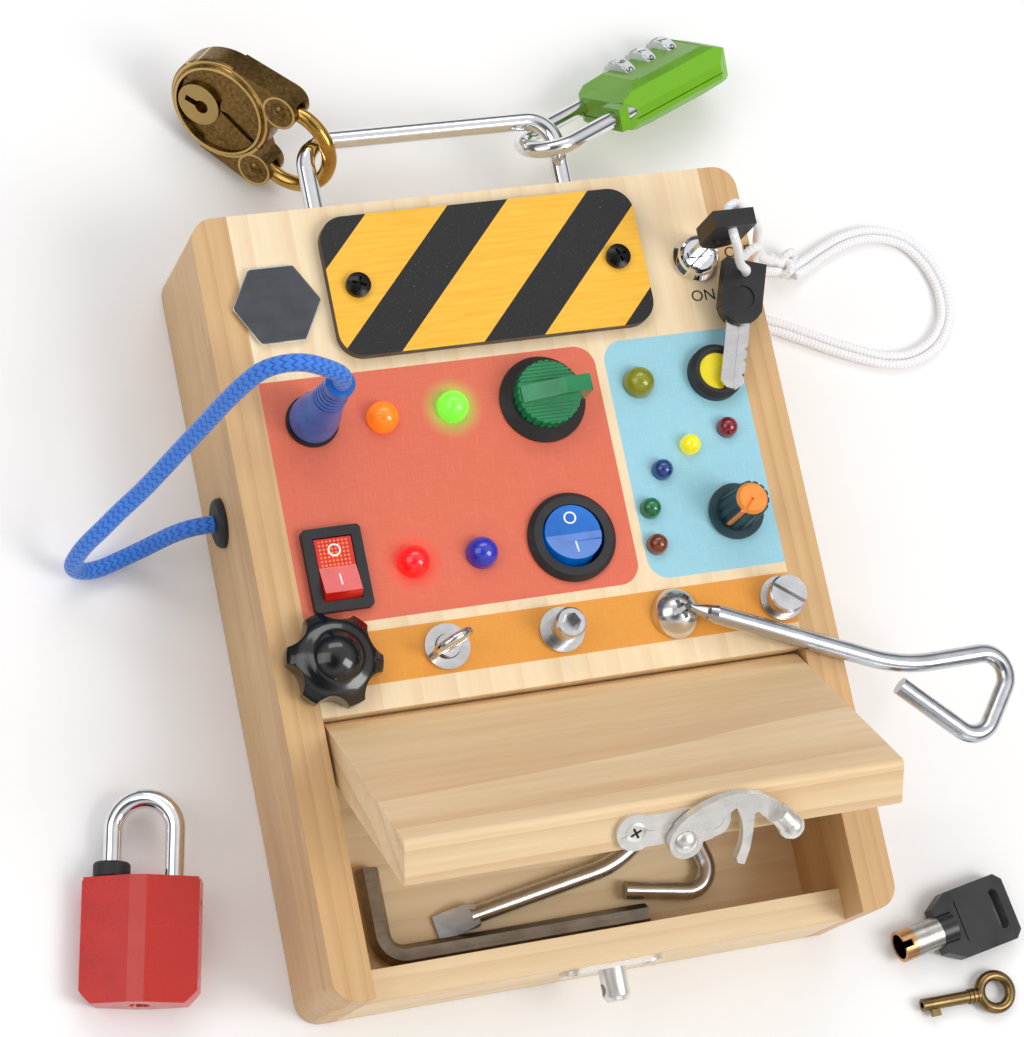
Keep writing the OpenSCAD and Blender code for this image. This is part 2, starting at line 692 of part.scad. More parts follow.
module button_case() {
    color("#26262a") translate([but_x, but_y, 0]) difference() {
        union() {
            translate([0, 0, face_z]) rotate_extrude() polygon([[0, 0], [button_ring_r, 0],
                [button_ring_r, button_ring_h - 1.2],
                [button_ring_r - 1.2, button_ring_h], [button_r + 0.5, button_ring_h], [button_r + 0.3,
                    button_ring_h - 0.3], [0, 0]]);
            translate([0, 0, face_z - 12]) cylinder(r = button_body_r, h = 12.5);
            for (i = [-1, 1]) translate([i * 2.5 - 0.4, -1.5, face_z - 17]) cube([0.8, 3, 5.5]);
        }
        translate([0, 0, face_z - 3]) cylinder(r = button_r + run_gap, h = 10);
        translate([0, 0, face_z - 10]) cylinder(r = button_r + 0.66, h = 7.5);
    }
}

module button_cap() {
    color("gold") translate([but_x, but_y, 0]) {
        translate([0, 0, face_z - 4]) cylinder(r = button_r, h = button_ring_h + 3.2);
        translate([0, 0, face_z - 4.6]) cylinder(r = button_r + 0.56, h = 1.6);
        translate([0, 0, face_z - 9.5 + button_travel]) cylinder(r = 1.5, h = 6.5 - button_travel);
    }
}

module pot_case() {
    color("slategray") translate([pot_x, pot_y, 0]) difference() {
        union() {
            translate([0, 0, under_z - 8]) cylinder(r = pot_body_r, h = 8);
            translate([0, 0, under_z - 1]) cylinder(r = 3.5, h = face_t + 1);
            for (i = [-1:1]) translate([i * 3 - 0.5, -pot_body_r - 4, under_z - 7]) cube([1, 6, 0.8]);
        }
        translate([0, 0, under_z - 5]) cylinder(r = 2.5 + run_gap, h = 20);
    }
}

module pot_knob() {
    color("teal") translate([pot_x, pot_y, face_z]) {
        translate([0, 0, -13]) cylinder(r = 2.5, h = 14);
        difference() {
            union() {
                translate([0, 0, 0.4]) cylinder(r = pot_skirt_r, h = 1.4);
                translate([0, 0, 1.8]) cylinder(r1 = 5.4, r2 = 4.6, h = pot_h - 2.6);
                translate([0, 0, pot_h - 0.8]) cylinder(r1 = 4.1, r2 = 3.4, h = 0.8);
            }
            for (i = [0:13]) rotate([0, 0, i * 360 / 14]) translate([5.5, 0, 3]) rotate([0, -4, 0])
                cylinder(r = 0.55, h = pot_h, $fn = 12);
            rotate([0, 0, 225]) translate([0, -0.4, pot_h - 0.5]) cube([5, 0.8, 2]);
        }
    }
}

module key_switch_case() {
    color("silver") translate([key_x, key_y, 0]) difference() {
        union() {
            translate([0, 0, face_z]) rotate_extrude() polygon([[0, 0], [key_bezel_r, 0], [key_bezel_r,
                1.2],
                [key_bezel_r - 0.9, 2.4], [key_bezel_r - 1.1, 3.6], [key_bezel_r - 1.5, 4.2], [0, 4.2]]);
            translate([0, 0, face_z - 20]) cylinder(r = key_body_r, h = 20);
            translate([0, 0, under_z - 3]) rotate([0, 0, 30]) cylinder(r = 6.8, h = 3, $fn = 6);
        }
        translate([0, 0, face_z - 18]) cylinder(r = barrel_r + run_gap, h = 30);
        translate([0, 0, face_z + 3.4]) cylinder(r1 = barrel_r, r2 = barrel_r + 1, h = 1);
    }
}

module key_barrel() {
    color("silver") translate([key_x, key_y, 0]) difference() {
        translate([0, 0, face_z - 17.8]) cylinder(r = barrel_r, h = 21.2);
        translate([-3.3, -key_blade_t / 2 - 0.15, face_z - 16]) cube([6.6, key_blade_t + 0.3, 30]);
        translate([0, -2.6, face_z + 3]) cylinder(r = 0.5, h = 2);
    }
}

// a key along +X from its head's free end, flat side up
module key_head() {
    difference() {
        intersection() {
            translate([0, -key_head_w / 2, -key_head_t / 2]) cube([key_head_len, key_head_w, key_head_t]);
            union() {
                translate([-1, -key_head_w / 2, -5]) cube([key_head_len - 3, key_head_w, 10]);
                translate([key_head_len - 5.5, 0, -5]) cylinder(r = 5.5, h = 10);
            }
        }
        translate([3, 0, -5]) cylinder(r = 1.5, h = 10);
        for (i = [0, 1]) mirror([0, 0, i]) translate([10, 0, key_head_t / 2 - 0.5]) cylinder(r = 3.2,
            h = 2);
        translate([key_head_len - 5, -3.1, -key_blade_t / 2]) cube([8, 6.2, key_blade_t]);
    }
}

module key_blade() {
    difference() {
        translate([key_head_len - 5, -3.1, -key_blade_t / 2]) cube([22, 6.2, key_blade_t]);
        for (i = [0, 1]) mirror([0, i, 0]) translate([key_head_len + 17, 3.1, 0]) rotate([0, 0, 45])
            cube([2.4, 2.4, 5], center = true);
        for (x = [6, 9, 13]) translate([key_head_len + x, 3.5, 0]) rotate([0, 0, 45]) cube([1.7, 1.7,
            5], center = true);
        translate([key_head_len - 4, -0.4, 0.4]) cube([25, 0.8, 2]);
    }
}

module place_key_a() {
    translate([key_x, key_y, face_z + 4.2 + key_blade_out + key_head_len]) rotate([0, 90, 0])
        rotate([90, 0, 0]) children();
}

module place_key_b() {
    translate([key_x + 10.5, key_y - 4.4, face_z + 5.9]) rotate([0, 2.4, -108]) children();
}

module key_blade_a() { color("silver") place_key_a() key_blade(); }
module key_head_a() { color("#1c1c1e") place_key_a() key_head(); }
module key_blade_b() { color("silver") place_key_b() key_blade(); }
module key_head_b() { color("#1c1c1e") place_key_b() key_head(); }

module jack() {
    color("#1c1c1e") translate([jack_x, jack_y, 0]) difference() {
        union() {
            translate([0, 0, face_z]) cylinder(r = jack_r, h = 1.2);
            translate([0, 0, face_z - 18]) cylinder(r = jack_body_r, h = 18.5);
        }
        translate([0, 0, face_z - 16]) cylinder(r = plug_pin_r + run_gap, h = 30);
    }
}

module plug() {
    color("royalblue") translate([jack_x, jack_y, face_z + 1.2]) {
        rotate_extrude() difference() {
            polygon([[0, 0], [plug_base_r - 0.5, 0], [plug_base_r, 0.8], [plug_base_r - 0.2, 5],
                [plug_base_r - 1.8, 14],
                [plug_top_r + 0.3, 20], [plug_top_r - 0.1, plug_len - 5], [plug_top_r, plug_len - 0.4],
                    [plug_top_r - 0.4, plug_len],
                [0, plug_len]]);
            for (i = [0:4]) translate([plug_top_r - 0.45 + (4 - i) * 0.08, plug_len - 12 + i * 2])
                square([2, 0.7]);
        }
        translate([0, 0, -14]) cylinder(r = plug_pin_r, h = 15);
    }
}

module grommet() {
    color("#1c1c1e") translate([-half_w, grommet_y, grommet_z]) rotate([0, -90, 0]) {
        rotate_extrude() polygon([[0, 0], [grommet_r, 0], [grommet_r, 1], [grommet_r - 0.6, 1.8],
            [grommet_r - 1.8, 2.2], [0, 2.2]]);
        translate([0, 0, -side_t]) cylinder(r = grommet_r - 2.05, h = side_t + 0.5);
    }
}

module at_bolt(i, z) {
    translate([bolt_x[i], bolt_y, face_z + z]) children();
}

module shank(extra = 0) {
    translate([0, 0, -bolt_len - extra]) cylinder(r = bolt_d / 2, h = bolt_len + extra + 0.5);
}

module star_knob() {
    color("#141416") at_bolt(0, 0.3) {
        intersection() {
            difference() {
                cylinder(r = star_r, h = star_h);
                for (i = [0:5]) rotate([0, 0, i * 60 + 17]) translate([star_r + 3.1, 0, -1])
                    cylinder(r = 5.6, h = 20);
            }
            translate([0, 0, -16.5]) sphere(28);
            translate([0, 0, 4]) rotate_extrude() polygon([[0, -4], [star_r - 1.5, -4], [star_r, -2.5],
                [star_r, 0.5], [star_r - 3, 3],
                [0, 6]]);
        }
        translate([0, 0, star_h - 6.4]) intersection() {
            sphere(8.2);
            cylinder(r = 6.6, h = 10);
        }
        translate([0, 0, -0.3]) shank();
    }
}

module eye_screw() {
    color("silver") at_bolt(1, washer_t) {
        translate([0, 0, 0.05]) cylinder(r = 2.9, h = 1.6);
        translate([0, 0, 1.2 + eye_r]) rotate([90, 0, 22]) torus(eye_r, eye_wire_r);
        shank(-1);
    }
}

module socket_bolt() {
    color("silver") at_bolt(2, washer_t) difference() {
        union() {
            translate([0, 0, 0.05]) rotate_extrude() polygon([[0, 0], [socket_r, 0], [socket_r,
                socket_h - 0.5],
                [socket_r - 0.5, socket_h], [0, socket_h]]);
            shank();
        }
        translate([0, 0, socket_h - 4]) cylinder(r = 2.5, h = 6, $fn = 6);
    }
}

module dome_bolt() {
    color("silver") at_bolt(3, 0.05) {
        dome_big = (dome_r * dome_r + dome_h * dome_h) / (2 * dome_h);
        difference() {
            intersection() {
                translate([0, 0, dome_h - dome_big]) sphere(dome_big);
                cylinder(r = dome_r, h = dome_h + 1);
            }
            for (a = [0, 90]) rotate([0, 0, a + 20]) translate([-2.6, -0.6, dome_h - 2.4]) cube([5.2,
                1.2, 4]);
            translate([0, 0, dome_h - 2.4]) cylinder(r1 = 0.4, r2 = 1.7, h = 2.6);
        }
        shank();
    }
}

module slotted_bolt() {
    color("silver") at_bolt(4, washer_t) difference() {
        union() {
            translate([0, 0, 0.05]) rotate_extrude() polygon([[0, 0], [slot_head_r, 0], [slot_head_r,
                slot_head_h - 0.4],
                [slot_head_r - 0.4, slot_head_h], [0, slot_head_h]]);
            shank();
        }
        rotate([0, 0, -38]) translate([-8, -0.5, slot_head_h - 1.3]) cube([16, 1, 3]);
    }
}

module washers() {
    color("silver") for (i = [1, 2, 4]) at_bolt(i, 0) difference() {
        cylinder(r = washer_r, h = washer_t);
        translate([0, 0, -1]) cylinder(r = bolt_d / 2 + 0.2, h = 5);
    }
}

module lid() {
    color("burlywood") at_lid() difference() {
        union() {
            translate([-lid_half, 0, 0]) rotate([90, 0, 90]) linear_extrude(2 * lid_half) {
                circle(lid_t / 2);
                translate([-lid_len + 1.5, -lid_t / 2]) square([lid_len - 1.5, lid_t]);
                translate([-lid_len, -lid_t / 2 + 1.5]) square([4, lid_t - 3]);
                for (i = [-1, 1]) translate([-lid_len + 1.5, i * (lid_t / 2 - 1.5)]) circle(1.5);
            }
            rotate([0, 90, 0]) cylinder(r = pin_r, h = 2 * (in_x + pin_in), center = true);
        }
        for (x = [-6.5, 13]) translate([x, -lid_len - 1, -0.8]) rotate([-90, 0, 0]) cylinder(r = 1.3,
            h = 7);
    }
}

// the end face of the closed lid: X across, Y up through the lid, Z out of the end
module at_lid_end() {
    at_lid() translate([0, -lid_len, 0]) rotate([90, 0, 0]) children();
}

module latch_base() {
    color("silver") at_lid_end() {
        difference() {
            union() {
                translate([-6.5, -0.8, 0]) cylinder(r = 4.7, h = latch_t);
                translate([13, -0.8, 0]) cylinder(r = 4.3, h = latch_t);
                translate([rivet_x, -rivet_drop, 0]) cylinder(r = 4, h = latch_t);
                translate([-6.5, -4.8, 0]) cube([19.5, 8, latch_t]);
            }
            for (x = [-6.5, 13]) translate([x, -0.8, latch_t - 1.2]) cylinder(r1 = 1.3, r2 = 2.6, h = 1.3);
        }
        for (x = [-6.5, 13]) translate([x, -0.8, -5]) {
            cylinder(r = 1.25, h = latch_t + 4.4);
            translate([0, 0, latch_t + 3.8]) cylinder(r1 = 1.3, r2 = 2.3, h = 1.1);
        }
        translate([rivet_x, -rivet_drop, 0]) {
            cylinder(r = 1.8, h = latch_t + arm_t + 1);
            translate([0, 0, latch_t + arm_t + 0.4]) intersection() {
                cylinder(r = 2.9, h = 1.4);
                translate([0, 0, -2.6]) sphere(3.9);
            }
        }
    }
}

module latch_arm() {
    slot_r = post_r + slot_gap;
    slot_end = 29;
    color("silver") at_lid_end() translate([rivet_x, -rivet_drop, latch_t + 0.25]) {
        difference() {
            linear_extrude(arm_t) {
                circle(4.2);
                difference() {
                    polygon([[-3, 2.2], [-2.2, 4.4], [0.4, 6.6], [4, 8.5], [8, 9.9], [12, 10.5], [16,
                        10.2], [19.4, 9.1],
                        [22.4, 7.3], [25, 4.9], [24, 1.5], [21.6, 1.3], [19.6, 3.4], [18, 5], [17,
                            4.6], [16.8, 0], [16.2, -4],
                        [14.9, -8.2], [13.2, -7.7], [12, -4], [12, 0], [6, 0], [2, -1]]);
                    difference() {
                        circle(slot_path_r + slot_r);
                        circle(slot_path_r - slot_r);
                        rotate(slot_end) translate([-30, 0]) square([60, 30]);
                    }
                }
            }
            translate([0, 0, -1]) cylinder(r = 1.8 + run_gap, h = 10);
        }
        translate([26.2, 0.2, 2.6]) rotate([0, -90, -51]) rotate_extrude() polygon([[0, -3.3], [1.4, -3],
            [2.4, -2.2], [3.1, -1.1], [3.3, 0], [3.1, 1.1], [2.8, 1.7], [2.8, 5.2], [0, 5.2]]);
    }
}

module flat_screw() {
    difference() {
        translate([0, 0, -keeper_t]) cylinder(r1 = screw_r, r2 = screw_r + 1.1, h = keeper_t);
        for (a = [0, 90]) rotate([0, 0, a]) translate([-1.6, -0.3, -0.6]) cube([3.2, 0.6, 2]);
    }
    translate([0, 0, 2 - screw_len]) cylinder(r = screw_r, h = screw_len - 2 - keeper_t + 0.1);
}

module keeper() {
    color("silver") translate([post_x, -half_h, post_z]) rotate([90, 0, 0]) difference() {
        union() {
            translate([-9.5, -4, 0]) cube([19, 8, keeper_t]);
            for (i = [-1, 1]) translate([i * 9.5, 0, 0]) cylinder(r = 4, h = keeper_t);
            translate([0, 0, keeper_t]) rotate_extrude() polygon([[0, 0], [post_r, 0], [post_r,
                post_len - 1.2], [post_r - 1, post_len],
                [0, post_len]]);
        }
        for (i = [-1, 1]) translate([i * 9.5, 0, 0]) {
            translate([0, 0, -1]) cylinder(r = screw_r + 0.1, h = 5);
            translate([0, 0, 0.02]) cylinder(r1 = screw_r + 0.08, r2 = screw_r + 1.18, h = keeper_t);
        }
        translate([0, 0, keeper_t + post_len - 3.2]) rotate([0, 90, 0]) cylinder(r = post_hole_r,
            h = 20, center = true);
    }
}

module cross_tool() {
    color("#a9adb3") translate([39.4, -20, 49.1]) rotate([0, 0, -21.8]) rotate([0, 5.7, 0]) rotate([2,
        0, 0]) {
        difference() {
            translate([-7, 0, 0]) rotate([0, 90, 0]) rotate_extrude() polygon([[0, 0], [0.7, 0],
                [rod_r, 7], [rod_r, 10], [0, 10]]);
            for (a = [0, 90, 180, 270]) rotate([a + 45, 0, 0]) translate([-8, 0.45, 0.45]) cube([6, 4, 4]);
        }
        translate([3, 0, 0]) wire_path([[cross_rod - 5, 23, 45], [14, -127, 6], [10, -96, 6], [20, 0,
            1]], rod_r);
    }
}

module flat_tool() {
    color("#c4c6c9") translate([-26.5, wall_in_y + 11.1, floor_z + rod_r]) rotate([0, 0, 9.6]) {
        wire_path([[flat_rod - 6, 25, 30], [9, -110, 6], [8, -115, 6], [16, 0, 1]], rod_r);
        intersection() {
            translate([-9, 0, 0]) rotate([0, 90, 0]) cylinder(r = 3.3, h = 10.5);
            translate([0, 10, 0]) rotate([90, 0, 0]) linear_extrude(20) polygon([[-9.5, 0.1 - rod_r],
                [2, 0.1 - rod_r],
                [2, rod_r - 0.1], [-9.5, 1 - rod_r]]);
        }
    }
}

module hex_key() {
    bend_r = 6;
    color("#6d6860") translate([-44.5, wall_in_y + 4.1, floor_z + hex_af / 2]) {
        rotate([0, 90, 0]) rotate([0, 0, 90]) cylinder(r = hex_af / sqrt(3), h = hex_long - 6, $fn = 6);
        translate([0, bend_r, 0]) rotate([0, 0, 180]) rotate_extrude(angle = 90) translate([bend_r, 0])
            circle(hex_af / sqrt(3), $fn = 6);
        translate([-bend_r, bend_r, 0]) rotate([-90, 0, 0]) cylinder(r = hex_af / sqrt(3),
            h = hex_short - 6, $fn = 6);
    }
}

module at_round_lock() {
    translate([-corner_x, corner_y, handle_z]) rotate([68.84, -7.35, -45.9]) translate([-25.5, -3,
        4.5]) children();
}

module round_lock_case() {
    color("darkgoldenrod") at_round_lock() {
        difference() {
            union() {
                rotate_extrude() polygon([[0, -brass_t], [brass_r - 1, -brass_t], [brass_r,
                    -brass_t + 1], [brass_r, -1.7],
                    [brass_r - 0.5, -1.1], [brass_r - 1.1, -1.1], [brass_r - 1.3, -0.5], [brass_r - 1.8, 0],
                    [brass_r - 2.4, 0], [brass_r - 2.8, -1.6], [0, -1.6]]);
                translate([-5.5, -2, -2]) cylinder(r = 6, h = 1.7);
                for (i = [0, 1]) mirror([0, i, 0]) translate([0, 0, 0.4 - brass_t])
                    linear_extrude(brass_t - 1.3) {
                    translate([14.8, 10.9]) circle(4.8);
                    polygon([[0, 0], [-1, brass_r], [14.5, 15.7], [19.4, 9.8], [15.4, 6.2],
                        [brass_r - 1, 4]]);
                }
            }
            difference() {
                union() {
                    translate([10, 5, -6.6]) cube([14, 9.4, 4.2]);
                    translate([10, -20, -6.6]) cube([14, 12.7, 4.2]);
                }
                translate([0, 0, -9]) cylinder(r = brass_r + 0.15, h = 9);
            }
            translate([-4.5, -2.1, -5]) cylinder(r = 1.9, h = 8);
            translate([-7, -2.15, 0]) rotate([0, 0, 4]) cube([5, 1.7, 10], center = true);
        }
        for (i = [-1, 1]) translate([14.8, i * 10.9, -brass_t - 0.1]) {
            cylinder(r = 1.2, h = brass_t);
            translate([0, 0, brass_t - 0.8]) intersection() {
                cylinder(r = 2.1, h = 1.1);
                translate([0, 0, -1.6]) sphere(2.7);
            }
        }
    }
}

module round_lock_shackle() {
    color("goldenrod") at_round_lock() difference() {
        union() {
            translate([20.5, 0, -4.5]) rotate([0, 0, -115]) rotate_extrude(angle = 230) translate([11.3, 0])
                circle(brass_wire_r, $fn = 32);
            for (i = [-1, 1]) translate([14.8, i * 10.9, -6.5]) cylinder(r = 3.2, h = 4);
        }
        translate([14.8, -10.9, -9]) cylinder(r = 1.2 + run_gap, h = 9);
        translate([14.8, 10.9, -9]) cylinder(r = 1.4, h = 9);
        translate([8, 9.5, -9]) cube([6.8, 2.8, 9]);
    }
}

module at_dial_lock() {
    translate([corner_x, corner_y, handle_z]) rotate([52, -11.9, -156.05]) translate([-39.3, 2.5, -2.6])
        children();
}

module dial_lock_case() {
    h = green_len / 2;
    w = green_w / 2;
    t = green_t / 2;
    color("yellowgreen") at_dial_lock() {
        difference() {
            intersection() {
                translate([0, 0, -t - 1]) linear_extrude(2 * t + 2) polygon([[h, -w + 3.5], [h - 1,
                    -w + 1.5], [h - 5, -w],
                    [-h + 5, -w], [-h + 1, -w + 2], [-h, -w + 5], [-h, w - 5], [-h + 1, w - 2],
                        [-h + 5, w], [h - 5, w],
                    [h - 1, w - 1.5], [h, w - 3.5]]);
                translate([0, 50, 0]) rotate([90, 0, 0]) linear_extrude(100) polygon([[h, -t + 2.2],
                    [h - 4, -t + 0.6],
                    [h / 2, -t], [-h / 2, -t], [-h + 4, -t + 0.6], [-h, -t + 2.2], [-h, t - 3.2],
                        [-h + 2, t - 2.4],
                    [-h + 7, t], [h - 9, t], [h - 3, t - 2.2], [h, t - 3]]);
                translate([-50, 0, 0]) rotate([90, 0, 90]) linear_extrude(100) polygon([[-w + 2.4, -t],
                    [w - 2.4, -t],
                    [w, -t + 2.6], [w, 0.6], [w - 2.2, t - 1.4], [w - 5, t], [-w + 3, t], [-w, t - 2],
                        [-w, -t + 2.6]]);
            }
            translate([-15.6, -w - 1, t - 0.9]) cube([26, 2 * w - 3.4, 3]);
            difference() {
                translate([-50, -50, -2.3]) cube([100, 100, 0.35]);
                translate([-h + 0.5, -w + 0.5, -5]) cube([2 * h - 1, 2 * w - 1, 10]);
            }
            for (i = [-1:1]) translate([dial_mid - i * dial_pitch - dial_w / 2 - 0.12, dial_y, dial_n])
                rotate([0, 90, 0])
                cylinder(r = dial_r + 0.25, h = dial_w + 0.24);
            for (i = [-1, 1]) translate([i < 0 ? 12.6 : 4, i * green_leg, 0]) rotate([0, 90, 0])
                cylinder(r = green_wire_r + run_gap, h = 30);
        }
        difference() {
            translate([h - 0.5, green_leg - 3.2, -3.2]) cube([3.3, 6.4, 6.4]);
            translate([h - 4, green_leg, 0]) rotate([0, 90, 0]) cylinder(r = green_wire_r + run_gap,
                h = 30);
        }
        translate([dial_mid - dial_pitch - 4, dial_y, dial_n]) rotate([0, 90, 0]) cylinder(r = 1.2,
            h = 2 * dial_pitch + 8);
    }
}

module dial_lock_shackle() {
    turn_x = green_far - green_leg;
    color("silver") at_dial_lock() {
        translate([turn_x, 0, 0]) rotate([0, 0, -90]) rotate_extrude(angle = 180) translate([green_leg, 0])
            circle(green_wire_r, $fn = 32);
        for (i = [-1, 1]) translate([i < 0 ? 13 : 4.4, i * green_leg, 0]) rotate([0, 90, 0])
            cylinder(r = green_wire_r, h = turn_x - (i < 0 ? 13 : 4.4));
    }
}

module dial(i) {
    color("silver") at_dial_lock() translate([dial_mid - i * dial_pitch, dial_y, dial_n]) rotate([0,
        90, 0]) difference() {
        translate([0, 0, -dial_w / 2]) cylinder(r = dial_r, h = dial_w);
        cylinder(r = 1.2 + run_gap, h = 10, center = true);
        for (k = [0:9]) rotate([0, 0, k * 36]) translate([dial_r + 0.1, 0, dial_w / 2 - 0.8])
            cylinder(r = 0.6, h = 2, $fn = 12);
    }
}

module dial_a() { dial(-1); }
module dial_b() { dial(0); }
module dial_c() { dial(1); }

module at_small_lock() {
    translate([-112.5, -87, 7.4]) rotate([0, -18.6, -11.9]) children();
}

module small_lock_case() {
    w = red_w / 2;
    t = red_t / 2;
    color("firebrick") at_small_lock() difference() {
        intersection() {
            rotate([-90, 0, 0]) linear_extrude(red_h) intersection() {
                polygon([[-1.5, -t], [1.5, -t], [w, -2.7], [w, 2.7], [1.5, t], [-1.5, t], [-w, 2.7],
                    [-w, -2.7]]);
                square([2 * w - 1, 2 * t - 0.4], center = true);
            }
            translate([0, 0, -20]) linear_extrude(40) {
                translate([-w, 7]) square([2 * w, red_h - 7.8]);
                translate([-w + 0.8, 7]) square([2 * w - 1.6, red_h - 7]);
                intersection() {
                    translate([0, 14]) circle(18);
                    translate([-w, 0]) square([2 * w, 14]);
                }
            }
        }
        for (i = [-1, 1]) translate([i * red_leg, 9, 0]) rotate([-90, 0, 0])
            cylinder(r = red_wire_r + run_gap, h = 40);
        translate([0, -1, 0]) rotate([-90, 0, 0]) cylinder(r = 2.6, h = 3);
        translate([0, 12, 0]) cube([0.8, 26, 3], center = true);
        translate([w - 3, red_h - 6, 0]) rotate([0, 90, 0]) cylinder(r = 0.8, h = 10);
    }
}

module small_lock_shackle() {
    bend_y = red_top - red_leg;
    color("silver") at_small_lock() {
        translate([0, bend_y, 0]) rotate_extrude(angle = 180) translate([red_leg, 0])
            circle(red_wire_r, $fn = 32);
        for (i = [-1, 1]) translate([i * red_leg, i < 0 ? 22 : 9.3, 0]) rotate([-90, 0, 0])
            cylinder(r = red_wire_r, h = bend_y - (i < 0 ? 22 : 9.3));
    }
}

module tube_key() {
    color("#3c3c40") translate([87.2, -105.6, tube_r + 0.05]) rotate([0, 0, 10]) difference() {
        union() {
            rotate([0, 90, 0]) cylinder(r = tube_r, h = tube_len + 3);
            rotate([0, 2.8, 0]) {
                translate([0, 0, -2.3]) linear_extrude(4.5) polygon([[tube_len - 1.5, -6],
                    [tube_len + 3.5, -9],
                    [tube_len + 19, -9], [tube_len + 21, -7], [tube_len + 21, 7], [tube_len + 19, 9],
                        [tube_len + 3.5, 9],
                    [tube_len - 1.5, 6]]);
            }
        }
        translate([-1, 0, 0]) rotate([0, 90, 0]) cylinder(r = tube_r - 0.9, h = tube_len);
        translate([-1, -0.9, tube_r - 2]) cube([3.5, 1.8, 3]);
        translate([tube_len + 17, -4, -5]) {
            cylinder(r = 1.4, h = 10);
            translate([0, 8, 0]) cylinder(r = 1.4, h = 10);
            translate([-1.4, 0, 0]) cube([2.8, 8, 10]);
        }
        rotate([0, 2.8, 0]) translate([tube_len + 5, -5, 1.9]) cube([0.5, 11, 2]);
    }
}

module brass_key() {
    color("darkgoldenrod") translate([90.7, -121.3, 2.05]) {
        difference() {
            rotate([0, 90, 0]) cylinder(r = 1.7, h = brass_key_len - 4);
            translate([-1, 0, 0]) rotate([0, 90, 0]) cylinder(r = 0.9, h = 6);
        }
        for (i = [0:2]) translate([brass_key_len - 6.8 + i * 1.2, 0, 0]) rotate([0, 90, 0])
            cylinder(r = 2, h = 0.6);
        translate([2.2, -3.4, -0.6]) cube([2.4, 2.2, 1.2]);
        translate([brass_key_len + 1, 0, 0]) torus(4.3, 1.45);
    }
}

module rope() {
    color("royalblue") translate([jack_x, 0, 0]) cord(rope_path, rope_d, [0, 0, 1], [1, 0, 0]);
}

module white_cord() {
    color("white") translate([key_x, 0, 0]) cord(cord_path, cord_d, [-1, 0, 0.3], [-1, 0.3, 0]);
}

side_walls();
top_rail();
face_panel();
divider();
bottom_wall();
back_panel();
battery_box();
batteries();
battery_door();
handle();
sign_plate();
screws();
mirror_tile();
lamps_big();
lamps_small();
rocker_rect_case();
rocker_rect();
rocker_round_case();
rocker_round();
selector_case();
selector_knob();
button_case();
button_cap();
pot_case();
pot_knob();
key_switch_case();
key_barrel();
key_blade_a();
key_head_a();
key_blade_b();
key_head_b();
white_cord();
jack();
plug();
rope();
grommet();
star_knob();
eye_screw();
socket_bolt();
dome_bolt();
slotted_bolt();
washers();
lid();
latch_base();
latch_arm();
keeper();
cross_tool();
hex_key();
flat_tool();
round_lock_case();
round_lock_shackle();
dial_lock_case();
dial_lock_shackle();
dial_a();
dial_b();
dial_c();
small_lock_case();
small_lock_shackle();
tube_key();
brass_key();
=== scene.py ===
"""Looks of the wooden busy board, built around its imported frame.
Lengths handed to the helpers are millimetres, and what they work out inside is metres."""

import math

import bpy
from mathutils import Matrix, Vector


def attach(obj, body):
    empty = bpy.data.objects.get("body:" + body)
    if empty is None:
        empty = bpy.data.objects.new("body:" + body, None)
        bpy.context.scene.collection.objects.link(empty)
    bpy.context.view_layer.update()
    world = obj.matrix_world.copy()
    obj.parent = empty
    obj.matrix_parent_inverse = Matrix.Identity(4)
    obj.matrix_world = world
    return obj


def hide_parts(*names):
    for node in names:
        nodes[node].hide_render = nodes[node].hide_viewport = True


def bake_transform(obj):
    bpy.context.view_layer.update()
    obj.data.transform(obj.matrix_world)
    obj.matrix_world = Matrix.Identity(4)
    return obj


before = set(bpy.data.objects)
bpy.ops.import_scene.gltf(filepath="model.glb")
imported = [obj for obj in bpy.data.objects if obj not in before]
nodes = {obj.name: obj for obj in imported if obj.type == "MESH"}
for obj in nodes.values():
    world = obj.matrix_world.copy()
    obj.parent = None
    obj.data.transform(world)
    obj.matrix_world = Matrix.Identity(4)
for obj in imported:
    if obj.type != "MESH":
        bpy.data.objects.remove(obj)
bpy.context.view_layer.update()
MM = 0.001
FACE = 43.0  # height of the board's face
LID_OPEN, ROCKER_TILT = 53, 9  # degrees at rest
LATCH_PLATE = 1.5  # thickness of the latch's plate
POT_PLACE = (52.7, 6.4, FACE)

# packed places of turned pieces: the turn's rows, its centre and the offset before the turn
ROUND_LOCK = (
    ((0.69019, 0.1762, -0.70184), (-0.71223, 0.33688, -0.61583), (0.12793, 0.92491, 0.35801)),
    (-32.15, 121.65, 21.4), (-25.5, -3, 4.5))
DIAL_LOCK = (
    ((-0.89426, 0.39842, -0.20386), (-0.39722, -0.49669, 0.7717), (0.2062, 0.77108, 0.60243)),
    (32.15, 121.65, 21.4), (-39.3, 2.5, -2.6))
KEY_TURN = math.radians(10)
TUBE_KEY = (
    ((math.cos(KEY_TURN), -math.sin(KEY_TURN), 0), (math.sin(KEY_TURN), math.cos(KEY_TURN), 0), (0, 0, 1)),
    (87.2, -105.6, 4.25), (0, 0, 0))
# the end face of the half open lid: X across, Z out of the end
LID_END = (((1, 0, 0), (0, 0.79864, -0.60182), (0, 0.60182, 0.79864)), (0, -73.973, 86.295), (0, 0, 0))


def metres(point):
    return tuple(c * MM for c in point)


def shift(x, y, z):
    return Matrix.Translation(metres((x, y, z)))


def spin(degrees, axis):
    return Matrix.Rotation(math.radians(degrees), 4, axis)


def home_of(place):
    rows, centre, offset = place
    return shift(*centre) @ Matrix(rows).to_4x4() @ shift(*offset)


